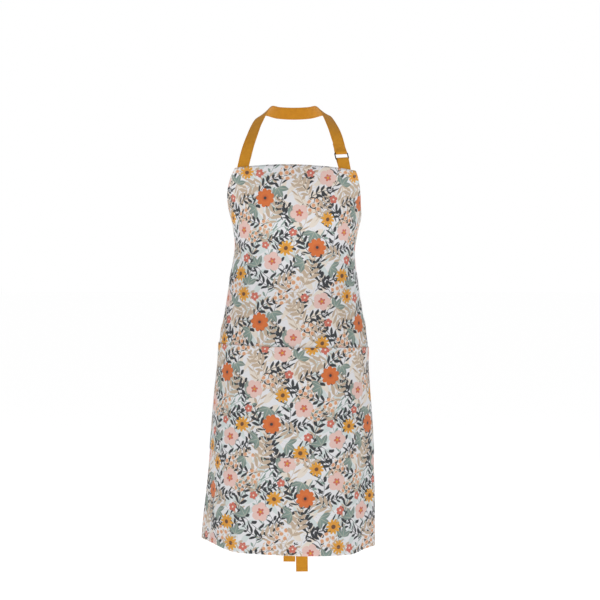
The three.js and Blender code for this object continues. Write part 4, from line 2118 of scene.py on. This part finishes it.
@dataclass
class Ties:
    """The waist ties, their knot behind the waist and the two tails."""

    apron: Apron
    down: float = 0.306
    sewn: float = 0.03
    knot: Triple = (0.034, 0.017, 0.03)
    tail: float = 0.632
    short_cut: float = 0.024
    spread: float = 0.014
    setback: float = 0.017
    gap: float = GAP
    hidden: float = 0.009
    aside: float = 0.001
    box: tuple[float, float] = (0.004, 0.026)
    end_rows: tuple[float, float] = (0.009, 0.003)

    def knot_middle(self) -> Vector:
        """Finds the middle of the knot, outside the back of the waist.

        Returns:
            The point.
        """
        drape = self.apron.drape
        back = float(drape.section_size("back", np.array(self.down))) - self.apron.inward()
        return Vector((0, back, float(drape.height(self.down)))) - self.apron.nape

    def build(self) -> list[bpy.types.Object]:
        """Makes the ties, the knot and the tails.

        Returns:
            The pieces.
        """
        pieces = []
        for side, name in ((-1, "left"), (1, "right")):
            pieces += [*self._tie(side, name), *self._tail(side, name)]
        return pieces + self._knot()

    def _tie(self, side: int, name: str) -> list[bpy.types.Object]:
        """Makes a tie from behind its side hem to the knot.

        Args:
            side: -1 for the left, 1 for the right.
            name: The side's name.

        Returns:
            The tie and its stitches.
        """
        apron = self.apron
        half = float(apron.drape.cut.half_width(np.array(self.down)))
        stations = []
        for inset in (self.sewn, self.sewn / 2, 0):
            across, edge = side * (half - inset), apron.tape.width / 2
            top, bottom = (apron.behind(across, self.down + end * edge) for end in (-1, 1))
            stations.append(Station((top + bottom) / 2, (top - bottom).normalized() * side))
        end = self.knot_middle() + Vector((side * (self.knot[0] / 2 + self.gap), 0, 0))
        inside = end - Vector((side * self.hidden, 0, 0))
        upright = Vector((0, 0, side))
        start = stations[-1].point
        for share in (1 / 3, 2 / 3):
            stations.append(Station(start.lerp(end, share), upright.copy()))
        stations += [Station(end, upright.copy()), Station(inside, upright.copy())]
        stations = smoothed(stations, 72)
        tape = TapeMaker(apron.finishes, columns=24, gathered_end=0.034)
        piece, length = tape.make(f"waist_tape_{name}", stations, 0.0015)
        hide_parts(f"waist_tie_{name}")
        stitches = tape.stitch(f"waist_stitches_{name}", stations, [self.box])
        return [piece, stitches]

    def _tail(self, side: int, name: str) -> list[bpy.types.Object]:
        """Makes a tail that hangs from the knot.

        Args:
            side: -1 for the left, 1 for the right.
            name: The side's name.

        Returns:
            The tail and its stitches.
        """
        apron = self.apron
        length = self.tail if side > 0 else self.tail - self.short_cut
        offset = side * (apron.tape.thickness + 3 * self.gap) / 2
        below = -self.knot[2] / 2 - self.gap
        start = self.knot_middle() + Vector((side * self.aside, offset, below))
        points = [Vector((0, 0, self.hidden))]
        for fall in TAIL_FALL:
            aside = side * self.spread * fall.aside
            points.append(Vector((aside, self.setback * fall.back, -length * fall.down)))
        keys = [Station(start + point, Vector((-1, 0, 0))) for point in points]
        stations = smoothed(keys, 160)
        tape = TapeMaker(apron.finishes, columns=20, gathered_start=0.045)
        piece, made = tape.make(f"tail_tape_{name}", stations, 0.0025)
        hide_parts(f"tie_tail_{name}")
        stitches = tape.stitch(f"tail_stitches_{name}", stations, [], self.end_rows)
        return [piece, stitches]

    def _knot(self) -> list[bpy.types.Object]:
        """Wraps the knot from bands of gathered tape.

        Returns:
            The bands.
        """
        bands = (
            KnotBand("knot_band_under", turn=4, reach=0.0158, depth=0.0048, width=0.0215),
            KnotBand("knot_band_over", turn=101, reach=0.0145, depth=0.0072, width=0.0195),
        )
        pieces = [band.build(self.apron, self.knot_middle()) for band in bands]
        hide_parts("tie_knot")
        return pieces


@dataclass
class KnotBand:
    """A band of the knot: a flattened loop of tape, turned about the way to the back."""

    name: str
    turn: float
    reach: float
    depth: float
    width: float
    pucker: float = 0.0007
    crown: float = 0.0026
    steps: int = 72

    def build(self, apron: Apron, middle: Vector) -> bpy.types.Object:
        """Makes the band.

        Args:
            apron: The apron.
            middle: Middle of the knot.

        Returns:
            The band.
        """
        turn = math.radians(self.turn)
        along = Vector((math.cos(turn), 0, math.sin(turn)))
        edge = Vector((-math.sin(turn), 0, math.cos(turn)))
        stations = []
        for step in range(self.steps + 1):
            angle = FULL_TURN * step / self.steps - math.pi / 2
            out = Vector((0, self.depth * math.sin(angle), 0))
            point = middle + along * (self.reach * math.cos(angle)) + out
            stations.append(Station(point, -edge))
        gathered = TapeMaker(
            apron.finishes, width=self.width, pucker=self.pucker, crown=self.crown, columns=36
        )
        piece, length = gathered.make(self.name, stations, 0.0012)
        return piece


@dataclass(frozen=True)
class Lamp:
    """A soft square light: its name, place and power in watts."""

    name: str
    x: float
    y: float
    z: float
    power: float


LAMPS = (
    Lamp("key", -1.6, -4.2, 1.5, 34),
    Lamp("fill", 2.2, -3.9, 0.4, 14),
    Lamp("back_left", -2.4, 3.4, 1.4, 20),
    Lamp("back_right", 2.6, 3.2, 1.0, 20),
)


@dataclass
class Studio:
    """Camera, pale seamless floor and soft lights."""

    camera_at: Triple = (0.0143, -4.5732, -0.3043)
    pitch: float = 88.4
    lens: float = 118.1
    floor: float = -1.36
    floor_radius: float = 40.0
    floor_glow: float = 0.7
    surround: float = 0.3
    lamp_size: float = 2.4
    lit_middle: Triple = (0, 0, -0.55)

    def camera(self) -> None:
        """Places the camera at the photograph's angle."""
        data = bpy.data.cameras.new("camera")
        data.lens = self.lens
        data.sensor_width = 36
        data.clip_end = 50
        camera = bpy.data.objects.new("camera", data)
        camera.location = self.camera_at
        camera.rotation_euler = (math.radians(self.pitch), 0, 0)
        bpy.context.scene.collection.objects.link(camera)
        bpy.context.scene.camera = camera

    def stage(self) -> None:
        """Makes the pale floor, a wide disc."""
        bm = bmesh.new()
        place = Matrix.Translation((0, 0, self.floor))
        bmesh.ops.create_circle(
            bm, cap_ends=True, segments=96, radius=self.floor_radius, matrix=place
        )
        mesh = bpy.data.meshes.new("floor")
        bm.to_mesh(mesh)
        bm.free()
        board = Board.of_material("floor_paper")
        where = board.place()
        grain = board.noise(where, 60.0, 3.0)
        colour = board.mix(srgb(250, 250, 250), srgb(255, 255, 255), grain)
        glow = {"Emission Color": (1, 1, 1, 1), "Emission Strength": self.floor_glow}
        mesh.materials.append(board.finish(colour, 0.9, grain, 0.0001, glow))
        floor = bpy.data.objects.new("floor", mesh)
        bpy.context.scene.collection.objects.link(floor)

    def lights(self) -> None:
        """Places the soft lights and an even surround."""
        for lamp in LAMPS:
            data = bpy.data.lights.new(lamp.name, "AREA")
            data.shape = "SQUARE"
            data.size = self.lamp_size
            data.energy = lamp.power
            light = bpy.data.objects.new(lamp.name, data)
            light.location = (lamp.x, lamp.y, lamp.z)
            toward = Vector(self.lit_middle) - light.location
            light.rotation_euler = toward.to_track_quat("-Z", "Y").to_euler()
            bpy.context.scene.collection.objects.link(light)
        world = bpy.data.worlds.new("surround")
        world.use_nodes = True
        world.node_tree.nodes.clear()
        board = Board(world.node_tree)
        seen = board.node("ShaderNodeLightPath", {}, {}, "Is Camera Ray")
        strength = seen * (1 - self.surround) + self.surround
        white = (1, 1, 1, 1)
        glow = board.node("ShaderNodeBackground", {}, {"Color": white, "Strength": strength})
        board.node("ShaderNodeOutputWorld", {}, {"Surface": glow})
        bpy.context.scene.world = world
        bpy.context.scene.view_settings.view_transform = "Standard"

    def build(self) -> None:
        """Sets up the whole studio."""
        self.camera()
        self.stage()
        self.lights()


def main() -> None:
    """Builds the apron and its studio, in order."""
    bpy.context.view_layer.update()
    Studio().build()
    finishes = Finishes.make()
    log.info("finishes made")
    apron = Apron(Drape(Cut()), finishes, TapeMaker(finishes))
    for part in (Panel(apron), Pocket(apron), NeckStrap(apron), Ties(apron)):
        for piece in part.build():
            log.info("%s: %d faces", piece.name, len(piece.data.polygons))
    bpy.context.view_layer.update()


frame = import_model()

if __name__ == "__main__":
    logging.basicConfig(level=logging.INFO, format="%(asctime)s %(name)s %(message)s")
    main()
